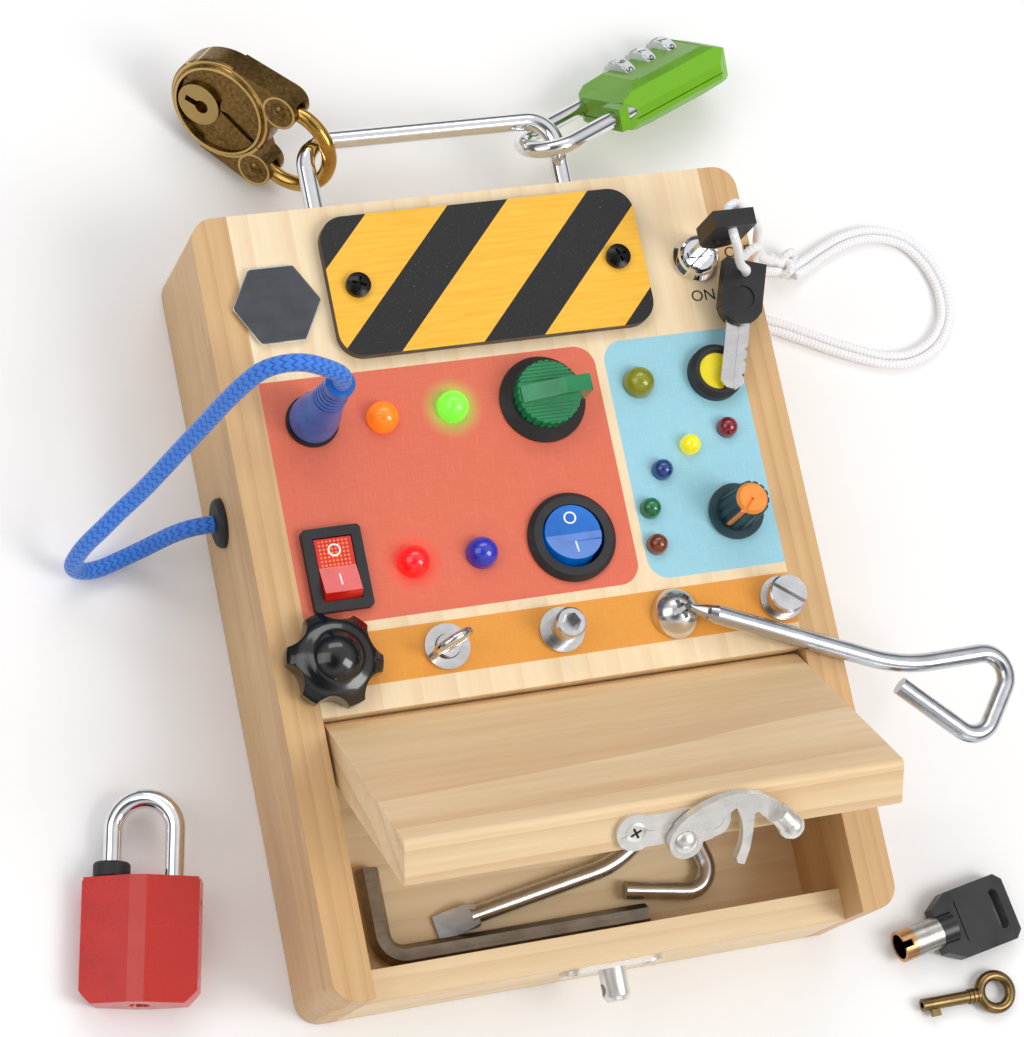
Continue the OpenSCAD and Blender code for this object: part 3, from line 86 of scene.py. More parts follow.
# ---------------------------------------------------------------- shader nodes
def tint(red, green, blue):
    """A screen colour of 0 to 255 as a shader colour."""
    parts = [c / 255 for c in (red, green, blue)]
    return tuple(c / 12.92 if c <= 0.04045 else ((c + 0.055) / 1.055) ** 2.4 for c in parts) + (1.0,)


def feed(tree, node, values):
    """Links or sets a node's inputs, by name or number."""
    for key, value in values.items():
        if isinstance(value, bpy.types.NodeSocket):
            tree.links.new(value, node.inputs[key])
        else:
            node.inputs[key].default_value = value


def put(tree, kind, inputs=(), **settings):
    """Adds a shader node. inputs holds values or sockets, None to leave one alone."""
    node = tree.nodes.new(kind)
    for key, value in settings.items():
        setattr(node, key, value)
    feed(tree, node, {index: value for index, value in enumerate(inputs) if value is not None})
    return node


def use(tree, group, **values):
    """Places an effect group and returns its outputs."""
    node = put(tree, "ShaderNodeGroup", node_tree=group)
    feed(tree, node, values)
    return node.outputs


def maths(tree, operation, a, b=None, c=None):
    return put(tree, "ShaderNodeMath", [a, b, c], operation=operation).outputs[0]


def plus(tree, a, b):
    return maths(tree, "ADD", a, b)


def minus(tree, a, b):
    return maths(tree, "SUBTRACT", a, b)


def times(tree, a, b):
    return maths(tree, "MULTIPLY", a, b)


def above(tree, value, limit):
    return maths(tree, "GREATER_THAN", value, limit)


def below(tree, value, limit):
    return maths(tree, "LESS_THAN", value, limit)


def larger(tree, a, b):
    return maths(tree, "MAXIMUM", a, b)


def sine(tree, value):
    return maths(tree, "SINE", value)


def size_of(tree, value):
    return maths(tree, "ABSOLUTE", value)


def vectors(tree, operation, a, b=None):
    node = put(tree, "ShaderNodeVectorMath", [a, b], operation=operation)
    return node.outputs["Value" if operation in ("DOT_PRODUCT", "LENGTH") else "Vector"]


def away_from(tree, a, b):
    return vectors(tree, "SUBTRACT", a, b)


def along(tree, a, b):
    return vectors(tree, "DOT_PRODUCT", a, b)


def length(tree, vector):
    return vectors(tree, "LENGTH", vector)


def axes(tree, vector):
    return put(tree, "ShaderNodeSeparateXYZ", [vector]).outputs


def stretched(tree, vector, scale):
    return put(tree, "ShaderNodeMapping", [vector, None, None, scale]).outputs[0]


def levels(tree, value, low, high, out_low=0.0, out_high=1.0):
    return put(tree, "ShaderNodeMapRange", [value, low, high, out_low, out_high]).outputs[0]


def noise(tree, vector, scale, detail=3.0, rough=0.5, twist=0.0):
    node = put(tree, "ShaderNodeTexNoise")
    feed(tree, node, {
        "Vector": vector, "Scale": scale, "Detail": detail, "Roughness": rough, "Distortion": twist})
    return node.outputs["Fac"]


def blend_colours(tree, factor, a, b):
    """Mixes two colours. Each is a socket, a screen colour of three numbers or a shader colour of four."""
    a, b = (tint(*c) if isinstance(c, tuple) and len(c) == 3 else c for c in (a, b))
    return put(tree, "ShaderNodeMix", [factor] + [None] * 5 + [a, b], data_type="RGBA").outputs[2]


def local_point(tree, here, place):
    """A point in a turned piece's own axes."""
    rows, centre, offset = place
    from_centre = away_from(tree, here, metres(centre))
    parts = [along(tree, from_centre, tuple(row[k] for row in rows)) for k in range(3)]
    return away_from(tree, put(tree, "ShaderNodeCombineXYZ", parts).outputs[0], metres(offset))


def band(tree, value, low, high):
    """1 between two lengths, 0 outside them."""
    return times(tree, above(tree, value, low * MM), below(tree, value, high * MM))


# ---------------------------------------------------------------- camera and light
CAMERA_PLACE = (-0.2691, -0.1697, 0.8338)
TOWARD_CAMERA = (-0.309, -0.214, 0.927)
right, up, ahead = (Vector(v) for v in (
    (0.94276, -0.19823, 0.26814), (0.12648, 0.95660, 0.26250), (0.30854, 0.21356, -0.92692)))
camera = bpy.data.objects.new("camera", bpy.data.cameras.new("camera"))
bpy.context.scene.collection.objects.link(camera)
camera.data.lens = 119.2
camera.data.sensor_width = 36
camera.data.clip_start = 0.05
camera.matrix_world = Matrix.Translation(CAMERA_PLACE) @ Matrix((right, up, -ahead)).transposed().to_4x4()
bpy.context.scene.camera = camera
bpy.context.scene.view_settings.view_transform = "Standard"


def softbox(name, place, aim, size, watts, colour=(1, 1, 1)):
    light = bpy.data.objects.new(name, bpy.data.lights.new(name, "AREA"))
    light.data.shape = "RECTANGLE"
    light.data.size, light.data.size_y = size
    light.data.energy = watts
    light.data.color = colour
    light.location = place
    light.rotation_euler = (Vector(aim) - Vector(place)).to_track_quat("-Z", "Y").to_euler()
    bpy.context.scene.collection.objects.link(light)


softbox("key_softbox", (0.75, -0.55, 1.15), (0, 0, 0.02), (0.55, 0.8), 8.5, (1.0, 0.985, 0.96))
softbox("fill_softbox", (-0.9, 0.15, 0.9), (0, 0, 0.02), (0.7, 1.0), 3.2)
softbox("top_softbox", (0.05, 1.0, 1.1), (0, 0.1, 0.02), (1.1, 0.4), 3.5)
softbox("front_softbox", (0.15, -1.3, 0.35), (0, 0, 0.03), (0.9, 0.25), 1.6)


def studio_room():
    """A pale room for reflections, dark low down and behind the camera. The camera sees plain white."""
    world = bpy.data.worlds.new("studio")
    bpy.context.scene.world = world
    world.use_nodes = True
    tree = world.node_tree
    tree.nodes.clear()
    way = put(tree, "ShaderNodeTexCoord").outputs["Generated"]
    ramp = put(tree, "ShaderNodeValToRGB", [axes(tree, way)["Z"]])
    stops = ramp.color_ramp.elements
    stops[0].position, stops[0].color = 0.0, (0.42, 0.42, 0.44, 1)
    stops[1].position, stops[1].color = 1.0, (0.86, 0.86, 0.87, 1)
    for at, grey in ((0.18, 0.12), (0.34, 0.2), (0.5, 0.62), (0.72, 0.95)):
        stops.new(at).color = (grey, grey, grey * 1.02, 1)
    shade = levels(tree, along(tree, way, TOWARD_CAMERA), 0.84, 0.97, 1.0, 0.16)
    dim = put(tree, "ShaderNodeVectorMath", [ramp.outputs[0], None, None, shade], operation="SCALE")
    room = put(tree, "ShaderNodeBackground", [dim.outputs[0], 0.95])
    plain = put(tree, "ShaderNodeBackground", [(1, 1, 1, 1)])
    seen = put(tree, "ShaderNodeLightPath").outputs["Is Camera Ray"]
    pick = put(tree, "ShaderNodeMixShader", [seen, room.outputs[0], plain.outputs[0]])
    put(tree, "ShaderNodeOutputWorld", [pick.outputs[0]])


studio_room()


# ---------------------------------------------------------------- effects that several finishes share
def effect(name, inputs, outputs):
    """An empty effect group. inputs gives each number's first value, and None for a vector."""
    group = bpy.data.node_groups.new(name, "ShaderNodeTree")
    for label, value in inputs.items():
        kind = "NodeSocketVector" if value is None else "NodeSocketFloat"
        socket = group.interface.new_socket(name=label, in_out="INPUT", socket_type=kind)
        if value is not None:
            socket.default_value = value
    for label in outputs:
        group.interface.new_socket(name=label, in_out="OUTPUT", socket_type="NodeSocketFloat")
    return group, group.nodes.new("NodeGroupInput").outputs, group.nodes.new("NodeGroupOutput")


def make_wood_grain():
    """Long streaks and pores along X of the vector, and growth rings that wander."""
    group, start, end = effect("wood_grain", {"Vector": None, "Rings": 55.0}, ("Tone", "Ring", "Height"))
    long_way = stretched(group, start["Vector"], (0.06, 1.0, 1.0))
    streaks = noise(group, long_way, 420.0, 4.0, 0.62, 0.2)
    broad = noise(group, long_way, 46.0, 2.0, 0.5, 0.6)
    pores = noise(group, stretched(group, start["Vector"], (0.09, 1.6, 1.6)), 1500.0, 2.0, 0.6)
    drift = put(group, "ShaderNodeTexNoise")
    feed(group, drift, {"Vector": long_way, "Scale": 14.0})
    drift = away_from(group, drift.outputs["Color"], (0.5, 0.5, 0.5))
    wavy = vectors(group, "ADD", long_way, vectors(group, "MULTIPLY", drift, (0.02, 0.02, 0.02)))
    wave = put(group, "ShaderNodeTexWave", wave_type="BANDS", bands_direction="Y", wave_profile="SAW")
    feed(group, wave, {
        "Vector": wavy, "Scale": start["Rings"], "Distortion": 2.6, "Detail": 2.0, "Detail Scale": 1.2})
    tone = plus(group, times(group, streaks, 0.55), times(group, broad, 0.45))
    feed(group, end, {
        "Tone": levels(group, tone, 0.32, 0.7), "Ring": levels(group, wave.outputs["Fac"], 0.5, 1.0),
        "Height": plus(group, streaks, times(group, pores, 0.6))})
    return group


def make_moulded():
    """Fine texture of moulded plastic: a height for the bump and a slow change of tone."""
    group, start, end = effect("moulded_texture", {"Vector": None, "Scale": 2600.0}, ("Height", "Tone"))
    feed(group, end, {
        "Height": noise(group, start["Vector"], start["Scale"], 2.0, 0.55),
        "Tone": levels(group, noise(group, start["Vector"], 140.0, 3.0, 0.6), 0.3, 0.7)})
    return group


def make_brushed():
    """Lines of brushed or drawn metal along X of the vector, with a few deeper scratches."""
    group, start, end = effect("brushed_lines", {"Vector": None, "Fineness": 900.0}, ("Height", "Tone"))
    long_way = stretched(group, start["Vector"], (0.03, 1.0, 1.0))
    lines = noise(group, long_way, start["Fineness"], 4.0, 0.6)
    blotch = noise(group, start["Vector"], 160.0, 3.0, 0.6)
    scratch = levels(group, noise(group, long_way, 320.0, 1.0, 0.4, 1.5), 0.66, 0.72)
    tone = plus(group, times(group, lines, 0.4), times(group, blotch, 0.6))
    feed(group, end, {
        "Height": minus(group, lines, times(group, scratch, 0.6)), "Tone": levels(group, tone, 0.3, 0.7)})
    return group


def make_handled():
    """Roughness of a surface that is handled: smudges and fine rubbed spots between two levels."""
    group, start, end = effect("handled_gloss", {"Vector": None, "Low": 0.3, "High": 0.5}, ("Roughness",))
    share = levels(group, noise(group, start["Vector"], 90.0, 4.0, 0.65, 0.4), 0.35, 0.65)
    span = minus(group, start["High"], start["Low"])
    feed(group, end, {"Roughness": maths(group, "MULTIPLY_ADD", share, span, start["Low"])})
    return group


def make_patch():
    """Mask of a printed rounded rectangle, seen from above."""
    inputs = {"Vector": None, "Centre": None, "Half": None, "Corner": 0.005}
    group, start, end = effect("printed_patch", inputs, ("Mask",))
    away = vectors(group, "ABSOLUTE", away_from(group, start["Vector"], start["Centre"]))
    over = axes(group, away_from(group, away, start["Half"]))
    x, y = (larger(group, plus(group, over[k], start["Corner"]), 0.0) for k in range(2))
    reach = maths(group, "SQRT", plus(group, times(group, x, x), times(group, y, y)))
    feed(group, end, {"Mask": levels(group, minus(group, reach, start["Corner"]), 0.00008, -0.00008)})
    return group


def make_braid():
    """Diagonal plaits of a braided cord on its own UV map: U goes round, V runs along in diameters."""
    group, start, end = effect("braid", {"Vector": None, "Strands": 6.0, "Pitch": 1.6}, ("Height", "Shade"))
    uv = axes(group, start["Vector"])
    round_way, long_way = times(group, uv[0], start["Strands"]), times(group, uv[1], start["Pitch"])
    left, to_right = plus(group, round_way, long_way), minus(group, round_way, long_way)
    over = above(group, sine(group, times(group, plus(group, left, to_right), math.pi)), 0.0)
    under = minus(group, 1.0, over)

    def ridge(value, strands=1):
        return size_of(group, sine(group, times(group, value, math.pi * strands)))

    def woven(one, other):
        return plus(group, times(group, one, over), times(group, other, under))

    height = woven(ridge(left), ridge(to_right))
    threads = ridge(woven(left, to_right), 3)
    feed(group, end, {
        "Height": maths(group, "MULTIPLY_ADD", threads, 0.18, height),
        "Shade": levels(group, height, 0.1, 0.75)})
    return group


WOOD_GRAIN, MOULDED, BRUSHED = make_wood_grain(), make_moulded(), make_brushed()
HANDLED, PATCH, BRAID = make_handled(), make_patch(), make_braid()


def blank_finish(name):
    """A new material: itself, its tree, its Principled shader and the piece's own coordinates."""
    material = bpy.data.materials.new(name)
    material.use_nodes = True
    tree = material.node_tree
    return material, tree, tree.nodes["Principled BSDF"], put(tree, "ShaderNodeTexCoord").outputs["Object"]


def add_bump(tree, shader, height, strength, depth):
    node = put(tree, "ShaderNodeBump")
    feed(tree, node, {"Strength": strength, "Distance": depth * MM, "Height": height})
    feed(tree, shader, {"Normal": node.outputs[0]})


def settle(tree, shader, here, colour, gloss, relief=None, plain=None):
    """Wires a finish: its colour, its gloss between two levels, its relief as a height, a strength and a
    depth, and the shader's plain values."""
    rough = use(tree, HANDLED, Vector=here, Low=gloss[0], High=gloss[1])["Roughness"]
    feed(tree, shader, {"Base Color": colour, "Roughness": rough, **(plain or {})})
    if relief:
        add_bump(tree, shader, *relief)


def plastic(name, deep, pale, gloss=(0.3, 0.45), texture=0.25, depth=0.05, scale=2600.0, clear=0.0, coat=0.0,
            glow=None, glow_power=0.0):
    """Moulded plastic or paint. clear is its see-through share."""
    material, tree, shader, here = blank_finish(name)
    skin = use(tree, MOULDED, Vector=here, Scale=scale)
    plain = {"Transmission Weight": clear, "Coat Weight": coat, "Coat Roughness": 0.08}
    if glow:
        plain.update({"Emission Color": tint(*glow), "Emission Strength": glow_power})
    colour = blend_colours(tree, skin["Tone"], deep, pale)
    settle(tree, shader, here, colour, gloss, (skin["Height"], texture, depth), plain)
    return material


def metal(name, deep, pale, gloss=(0.15, 0.3), lines=0.12, depth=0.02, fineness=900.0, along_turn=0, share=1.0):
    """Metal with lines along X, turned by along_turn degrees. share below 1 is a satin plating."""
    material, tree, shader, here = blank_finish(name)
    placed = put(tree, "ShaderNodeMapping", [here, None, (0, 0, math.radians(along_turn))]).outputs[0]
    skin = use(tree, BRUSHED, Vector=placed, Fineness=fineness)
    colour = blend_colours(tree, skin["Tone"], deep, pale)
    settle(tree, shader, here, colour, gloss, (skin["Height"], lines, depth), {"Metallic": share})
    return material


SATIN_COAT = {"Coat Weight": 0.08, "Coat Roughness": 0.3}


def wood(name, pale, deep, ring_colour, turn=(0, 0, 0), move=(0, 0, 0), rings=55.0, ring_share=0.3,
         boards=None):
    """Bare satin maple. turn, in degrees, brings the grain from X to where it runs on the piece."""
    material, tree, shader, here = blank_finish(name)
    turn = tuple(math.radians(t) for t in turn)
    placed = put(tree, "ShaderNodeMapping", [here, metres(move), turn]).outputs[0]
    colour, height = wood_colour(tree, here, placed, pale, deep, ring_colour, rings, ring_share, boards)
    settle(tree, shader, here, colour, (0.42, 0.56), (height, 0.16, 0.06), SATIN_COAT)
    return material


def wood_colour(tree, here, placed, pale, deep, ring_colour, rings, ring_share, boards):
    """Grain, rings and glued strips. boards is the strips' width and the coordinate across them."""
    grain = use(tree, WOOD_GRAIN, Vector=placed, Rings=rings)
    colour = blend_colours(tree, grain["Tone"], pale, deep)
    colour = blend_colours(tree, times(tree, grain["Ring"], ring_share), colour, ring_colour)
    if boards:
        width, axis = boards
        strip = maths(tree, "DIVIDE", axes(tree, here)[axis], width * MM)
        number = maths(tree, "FLOOR", strip)
        tone = put(tree, "ShaderNodeTexWhiteNoise", [None, number], noise_dimensions="1D").outputs["Value"]
        colour = blend_colours(tree, times(tree, tone, 0.34), colour, deep)
        seam = levels(tree, size_of(tree, minus(tree, maths(tree, "FRACT", strip), 0.5)), 0.4975, 0.5)
        colour = blend_colours(tree, times(tree, seam, 0.35), colour, ring_colour)
    return colour, grain["Height"]


# ---------------------------------------------------------------- ways to make pieces
def dress(node, material, rounded=None):
    """Gives a CAD node its finish. rounded softens its edges by that much."""
    obj = nodes[node]
    obj.data.materials.clear()
    obj.data.materials.append(material)
    if rounded:
        weld = obj.modifiers.new("weld", "WELD")
        weld.merge_threshold = 0.00001
        soft = obj.modifiers.new("soft_edge", "BEVEL")
        soft.width = rounded * MM
        soft.segments = 3
        soft.limit_method = "ANGLE"
        soft.angle_limit = math.radians(50)
        soft.harden_normals = False


def finish_piece(obj, name, material, body, place=None, smooth=35):
    """Names a new piece, settles its place in its mesh, and lets it ride."""
    bpy.ops.object.select_all(action="DESELECT")
    obj.select_set(True)
    bpy.context.view_layer.objects.active = obj
    bpy.ops.object.transform_apply(location=True, rotation=True, scale=True)
    if place is not None:
        obj.data.transform(place)
    obj.name = name
    obj.data.name = name
    obj.data.materials.clear()
    obj.data.materials.append(material)
    if smooth:
        bpy.ops.object.shade_smooth_by_angle(angle=math.radians(smooth))
    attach(obj, body)
    return obj


def turned(steps, sides=48, hollow=False):
    """A turned form about Z: a disc of the first radius and height, extruded and resized to each next one.
    A hollow one starts as an open ring and comes back to its first step."""
    if hollow:
        steps = list(steps) + [steps[0]]
    bpy.ops.object.select_all(action="DESELECT")
    radius, height = steps[0]
    bpy.ops.mesh.primitive_circle_add(
        vertices=sides, radius=radius * MM, location=(0, 0, height * MM),
        fill_type="NOTHING" if hollow else "NGON")
    obj = bpy.context.active_object
    bpy.ops.object.transform_apply(location=True)
    bpy.ops.object.mode_set(mode="EDIT")
    bpy.ops.mesh.select_all(action="SELECT")
    for next_radius, next_height in steps[1:]:
        rise = (0, 0, (next_height - height) * MM)
        bpy.ops.mesh.extrude_region_move(TRANSFORM_OT_translate={"value": rise})
        share = next_radius / radius
        bpy.ops.transform.resize(value=(share, share, 1), center_override=(0, 0, 0))
        radius, height = next_radius, next_height
    bpy.ops.mesh.select_all(action="SELECT")
    if hollow:
        bpy.ops.mesh.remove_doubles(threshold=0.00001)
    bpy.ops.mesh.normals_make_consistent(inside=False)
    bpy.ops.object.mode_set(mode="OBJECT")
    return obj


def lettering(words, size, thick, place, name, material, body):
    """Flat generic lettering, raised by thick, centred at place's origin in its XY plane."""
    bpy.ops.object.select_all(action="DESELECT")
    bpy.ops.object.text_add(location=(0, 0, 0))
    text = bpy.context.active_object.data
    text.body = words
    text.size = size * MM
    text.extrude = thick * MM / 2
    text.align_x, text.align_y = "CENTER", "CENTER"
    text.resolution_u = 4
    bpy.ops.object.convert(target="MESH")
    finish_piece(bpy.context.active_object, name, material, body, place, smooth=None)


def smooth_route(points, per=6):
    """A smooth line through the points, in metres."""
    pts = [Vector(p) * MM for p in points]
    line = []
    for i in range(len(pts) - 1):
        a, b, c, d = pts[max(i - 1, 0)], pts[i], pts[i + 1], pts[min(i + 2, len(pts) - 1)]
        square, cube = 2 * a - 5 * b + 4 * c - d, 3 * b - a - 3 * c + d
        for k in range(per):
            t = k / per
            line.append(0.5 * (2 * b + (c - a) * t + square * t * t + cube * t ** 3))
    return line + [pts[-1]]


def cord_tube(name, line, diameter, material, sides=14):
    """A round tube along a line in metres, with its UV map going round, and along in diameters."""
    verts, faces, uvs, marks = [], [], [], []
    side = (line[1] - line[0]).normalized().orthogonal().normalized()
    travelled = 0.0
    for i, p in enumerate(line):
        forward = (line[min(i + 1, len(line) - 1)] - line[max(i - 1, 0)]).normalized()
        side = (side - forward * side.dot(forward)).normalized()
        other = forward.cross(side)
        if i:
            travelled += (p - line[i - 1]).length
        marks.append(travelled / (diameter * MM))
        for k in range(sides):
            a = 2 * math.pi * k / sides
            verts.append(p + (side * math.cos(a) + other * math.sin(a)) * (diameter * MM) / 2)
    for i in range(len(line) - 1):
        low, high = i * sides, (i + 1) * sides
        for k in range(sides):
            after = (k + 1) % sides
            faces.append((low + k, low + after, high + after, high + k))
            uvs += [(u / sides, marks[v]) for u, v in ((k, i), (k + 1, i), (k + 1, i + 1), (k, i + 1))]
    faces.append(tuple(reversed(range(sides))))
    faces.append(tuple((len(line) - 1) * sides + k for k in range(sides)))
    uvs += [(0.0, 0.0)] * (2 * sides)
    mesh = bpy.data.meshes.new(name)
    mesh.from_pydata([tuple(v) for v in verts], [], faces)
    layer = mesh.uv_layers.new(name="UVMap")
    for loop, uv in enumerate(uvs):
        layer.data[loop].uv = uv
    mesh.polygons.foreach_set("use_smooth", [True] * len(mesh.polygons))
    mesh.update()
    obj = bpy.data.objects.new(name, mesh)
    bpy.context.scene.collection.objects.link(obj)
    obj.data.materials.append(material)
    return obj


# ---------------------------------------------------------------- finishes
PALE, DEEP, RING = (247, 228, 194), (236, 208, 164), (214, 170, 118)
side_wood = wood("maple_side", (226, 190, 140), (205, 162, 110), (178, 130, 82), (0, 0, 90), rings=70.0,
                 ring_share=0.45, boards=(14.5, 2))
rail_wood = wood("maple_rail", PALE, DEEP, RING, rings=60.0)
wall_wood = wood("maple_wall", (244, 222, 184), (230, 198, 152), RING, move=(40, 13, 7), rings=60.0)
lid_wood = wood("maple_lid", (240, 214, 172), (222, 186, 138), (196, 146, 96), (-LID_OPEN, 0, 0), (11, 31, 5),
                rings=42.0, ring_share=0.36)
back_wood = wood("plywood", (240, 222, 186), (226, 200, 158), (205, 168, 124), move=(3, 61, 2), rings=38.0,
                 ring_share=0.25)
steel = metal("polished_steel", (196, 195, 194), (230, 229, 228), (0.12, 0.24), 0.06, fineness=700.0)
nickel = metal("bright_nickel", (212, 209, 203), (236, 233, 227), (0.26, 0.36), 0.05, fineness=600.0,
               share=0.72)
chrome = metal("chrome", (222, 223, 226), (240, 240, 242), (0.03, 0.07), 0.02, fineness=400.0)
zinc = metal("zinc_rod", (178, 181, 186), (214, 217, 221), (0.16, 0.3), 0.08, fineness=500.0)
hex_steel = metal("hex_key_steel", (112, 104, 95), (150, 142, 132), (0.28, 0.42), fineness=800.0)
aged_brass = metal("aged_brass", (96, 78, 48), (150, 126, 84), (0.2, 0.38), 0.05, fineness=500.0)
gold = metal("polished_gold", (176, 134, 62), (206, 166, 92), (0.12, 0.24), 0.06)
machined = metal("machined_steel", (196, 196, 198), (232, 232, 234), (0.16, 0.3), 0.16, fineness=1500.0,
                 along_turn=30)
black_case = plastic("black_bezel", (26, 26, 28), (40, 40, 43), (0.42, 0.6), 0.55, 0.09, 3400.0)
black_gloss = plastic("black_knob", (8, 8, 9), (16, 16, 18), (0.1, 0.2), 0.1, 0.03, 900.0, coat=0.5)
key_black = plastic("key_head_black", (22, 22, 24), (36, 36, 38), (0.3, 0.44), 0.35)
rubber = plastic("black_rubber", (20, 20, 22), (32, 32, 34), (0.45, 0.62), 0.3, scale=1800.0)
grey_case = plastic("grey_case", (88, 90, 92), (108, 110, 112), (0.4, 0.55), 0.3)
cell_wrap = plastic("cell_wrap", (30, 30, 33), (60, 58, 50), (0.2, 0.3), 0.1)
plug_blue = plastic("plug_blue", (18, 92, 176), (38, 118, 204), (0.26, 0.4), 0.16, 0.04, 1500.0, coat=0.1)
# the selector knob's faint glow is painted light, standing in for light coming through the clear plastic
green_clear = plastic("green_translucent", (0, 118, 68), (10, 146, 88), (0.1, 0.2), 0.06, clear=0.2, coat=0.4,
                      glow=(0, 130, 74), glow_power=0.16)
# the round rocker's faint glow is painted light, standing in for light coming through the clear plastic
blue_clear = plastic("blue_translucent", (0, 100, 190), (0, 126, 220), (0.12, 0.22), 0.08, clear=0.3, coat=0.4,
                     glow=(0, 116, 220), glow_power=0.14)
button_yellow = plastic("button_yellow", (228, 206, 6), (244, 226, 30), (0.24, 0.36), 0.12)
ink = plastic("printed_black", (24, 22, 22), (40, 38, 36), (0.5, 0.6), 0.05)
white_print = plastic("printed_white", (228, 232, 236), (244, 246, 248), (0.4, 0.5), 0.05)

PRINTED_FIELDS = (  # centre, half size, corner radius and the two colours of each
    ((-21.8, 23.3, 0), (46.1, 31.4, 1000), 5.5, (222, 100, 72), (234, 128, 98)),
    ((47.35, 23.4, 0), (20.55, 31.45, 1000), 5.5, (146, 205, 222), (176, 222, 232)),
    ((0, -17.3, 0), (68, 6.6, 1000), 6.0, (228, 148, 36), (238, 170, 66)))
# places of the two lit lamps, and the colour of the painted glow round each
LIT_LAMPS = (((-15.4, 42.7, FACE), (150, 255, 90)), ((-33.2, 4.9, FACE), (255, 40, 24)))


def face_finish():
    """Maple face with its printed red, blue and amber fields, and a painted glow round the two lit lamps: their
    light painted into the wood's colour.
    """
    material, tree, shader, here = blank_finish("printed_face")
    placed = put(tree, "ShaderNodeMapping", [here, (0.02, 0.01, 0.0), (0, 0, math.radians(90))]).outputs[0]
    colour, height = wood_colour(tree, here, placed, PALE, DEEP, RING, 34.0, 0.26, (24.0, 0))
    streak = noise(tree, stretched(tree, here, (0.1, 1.0, 1.0)), 2300.0, 3.0, 0.6)
    strand = noise(tree, stretched(tree, here, (1.0, 0.08, 1.0)), 2000.0, 3.0, 0.6)
    threads = times(tree, levels(tree, larger(tree, streak, strand), 0.5, 0.85), 0.6)
    top = above(tree, axes(tree, here)[2], (FACE - 0.3) * MM)
    for centre, half, corner, deep, pale in PRINTED_FIELDS:
        patch = use(tree, PATCH, Vector=here, Centre=metres(centre), Half=metres(half), Corner=corner * MM)
        printed = blend_colours(tree, threads, deep, pale)
        colour = blend_colours(tree, times(tree, times(tree, patch["Mask"], 0.97), top), colour, printed)
    # painted light: each lit lamp's colour is painted onto the face round it, fading with distance
    for place, lit in LIT_LAMPS:
        reach = length(tree, away_from(tree, here, metres(place)))
        painted_glow = maths(tree, "POWER", levels(tree, reach, 0.0085, 0.0035), 1.6)
        colour = blend_colours(tree, times(tree, painted_glow, 0.6), colour, lit)
    relief = plus(tree, height, times(tree, threads, 0.5))
    settle(tree, shader, here, colour, (0.4, 0.54), (relief, 0.18, 0.06), SATIN_COAT)
    return material


def sign_finish():
    """Satin plate with slanting yellow and black hazard stripes, and dark brown sides below its top."""
    material, tree, shader, here = blank_finish("hazard_stripes")
    across = along(tree, away_from(tree, here, (0, 0.05785, 0)), (1.0, -0.965, 0.0))
    share = maths(tree, "FRACT", maths(tree, "DIVIDE", plus(tree, across, 0.0422), 0.03775))
    grain = noise(tree, stretched(tree, here, (0.06, 1.0, 1.0)), 1300.0, 3.0, 0.6)
    flecks = levels(tree, noise(tree, here, 2200.0, 1.0, 0.5), 0.7, 0.74)
    yellow = blend_colours(tree, levels(tree, grain, 0.3, 0.7), (244, 178, 36), (252, 196, 64))
    black = blend_colours(tree, times(tree, flecks, 0.5), (15, 14, 15), (110, 106, 100))
    colour = blend_colours(tree, below(tree, share, 0.427), yellow, black)
    side = below(tree, axes(tree, here)[2], 0.04585)
    colour = blend_colours(tree, side, colour, (70, 52, 44))
    settle(tree, shader, here, colour, (0.36, 0.5), (grain, 0.14, 0.05))
    return material


def screw_finish():
    """The sign's two screws are black, and the keeper's two are bright steel."""
    material, tree, shader, here = blank_finish("screws_black_and_steel")
    dark = above(tree, axes(tree, here)[1], 0.0)
    skin = use(tree, BRUSHED, Vector=here, Fineness=1400.0)
    bright = blend_colours(tree, skin["Tone"], (190, 190, 192), (228, 228, 230))
    deep = blend_colours(tree, skin["Tone"], (22, 21, 22), (38, 36, 37))
    plain = {"Metallic": minus(tree, 1.0, times(tree, dark, 0.35))}
    colour = blend_colours(tree, dark, bright, deep)
    settle(tree, shader, here, colour, (0.16, 0.3), (skin["Height"], 0.08, 0.02), plain)
    return material


def latch_screw_finish():
    """Bright screw head whose cross recess and seat are painted dark: painted shade."""
    material, tree, shader, here = blank_finish("latch_screw_steel")
    skin = use(tree, BRUSHED, Vector=here, Fineness=900.0)
    height = axes(tree, local_point(tree, here, LID_END))[2]
    # painted shade: the cross recess and the seat round the head, below the plate's level, are coloured dark
    low = levels(tree, height, (LATCH_PLATE + 0.04) * MM, LATCH_PLATE * MM)
    bright = blend_colours(tree, skin["Tone"], (214, 211, 205), (238, 235, 229))
    colour = blend_colours(tree, low, bright, (46, 43, 40))
    settle(tree, shader, here, colour, (0.22, 0.34), (skin["Height"], 0.05, 0.02), {"Metallic": 0.72})
    return material


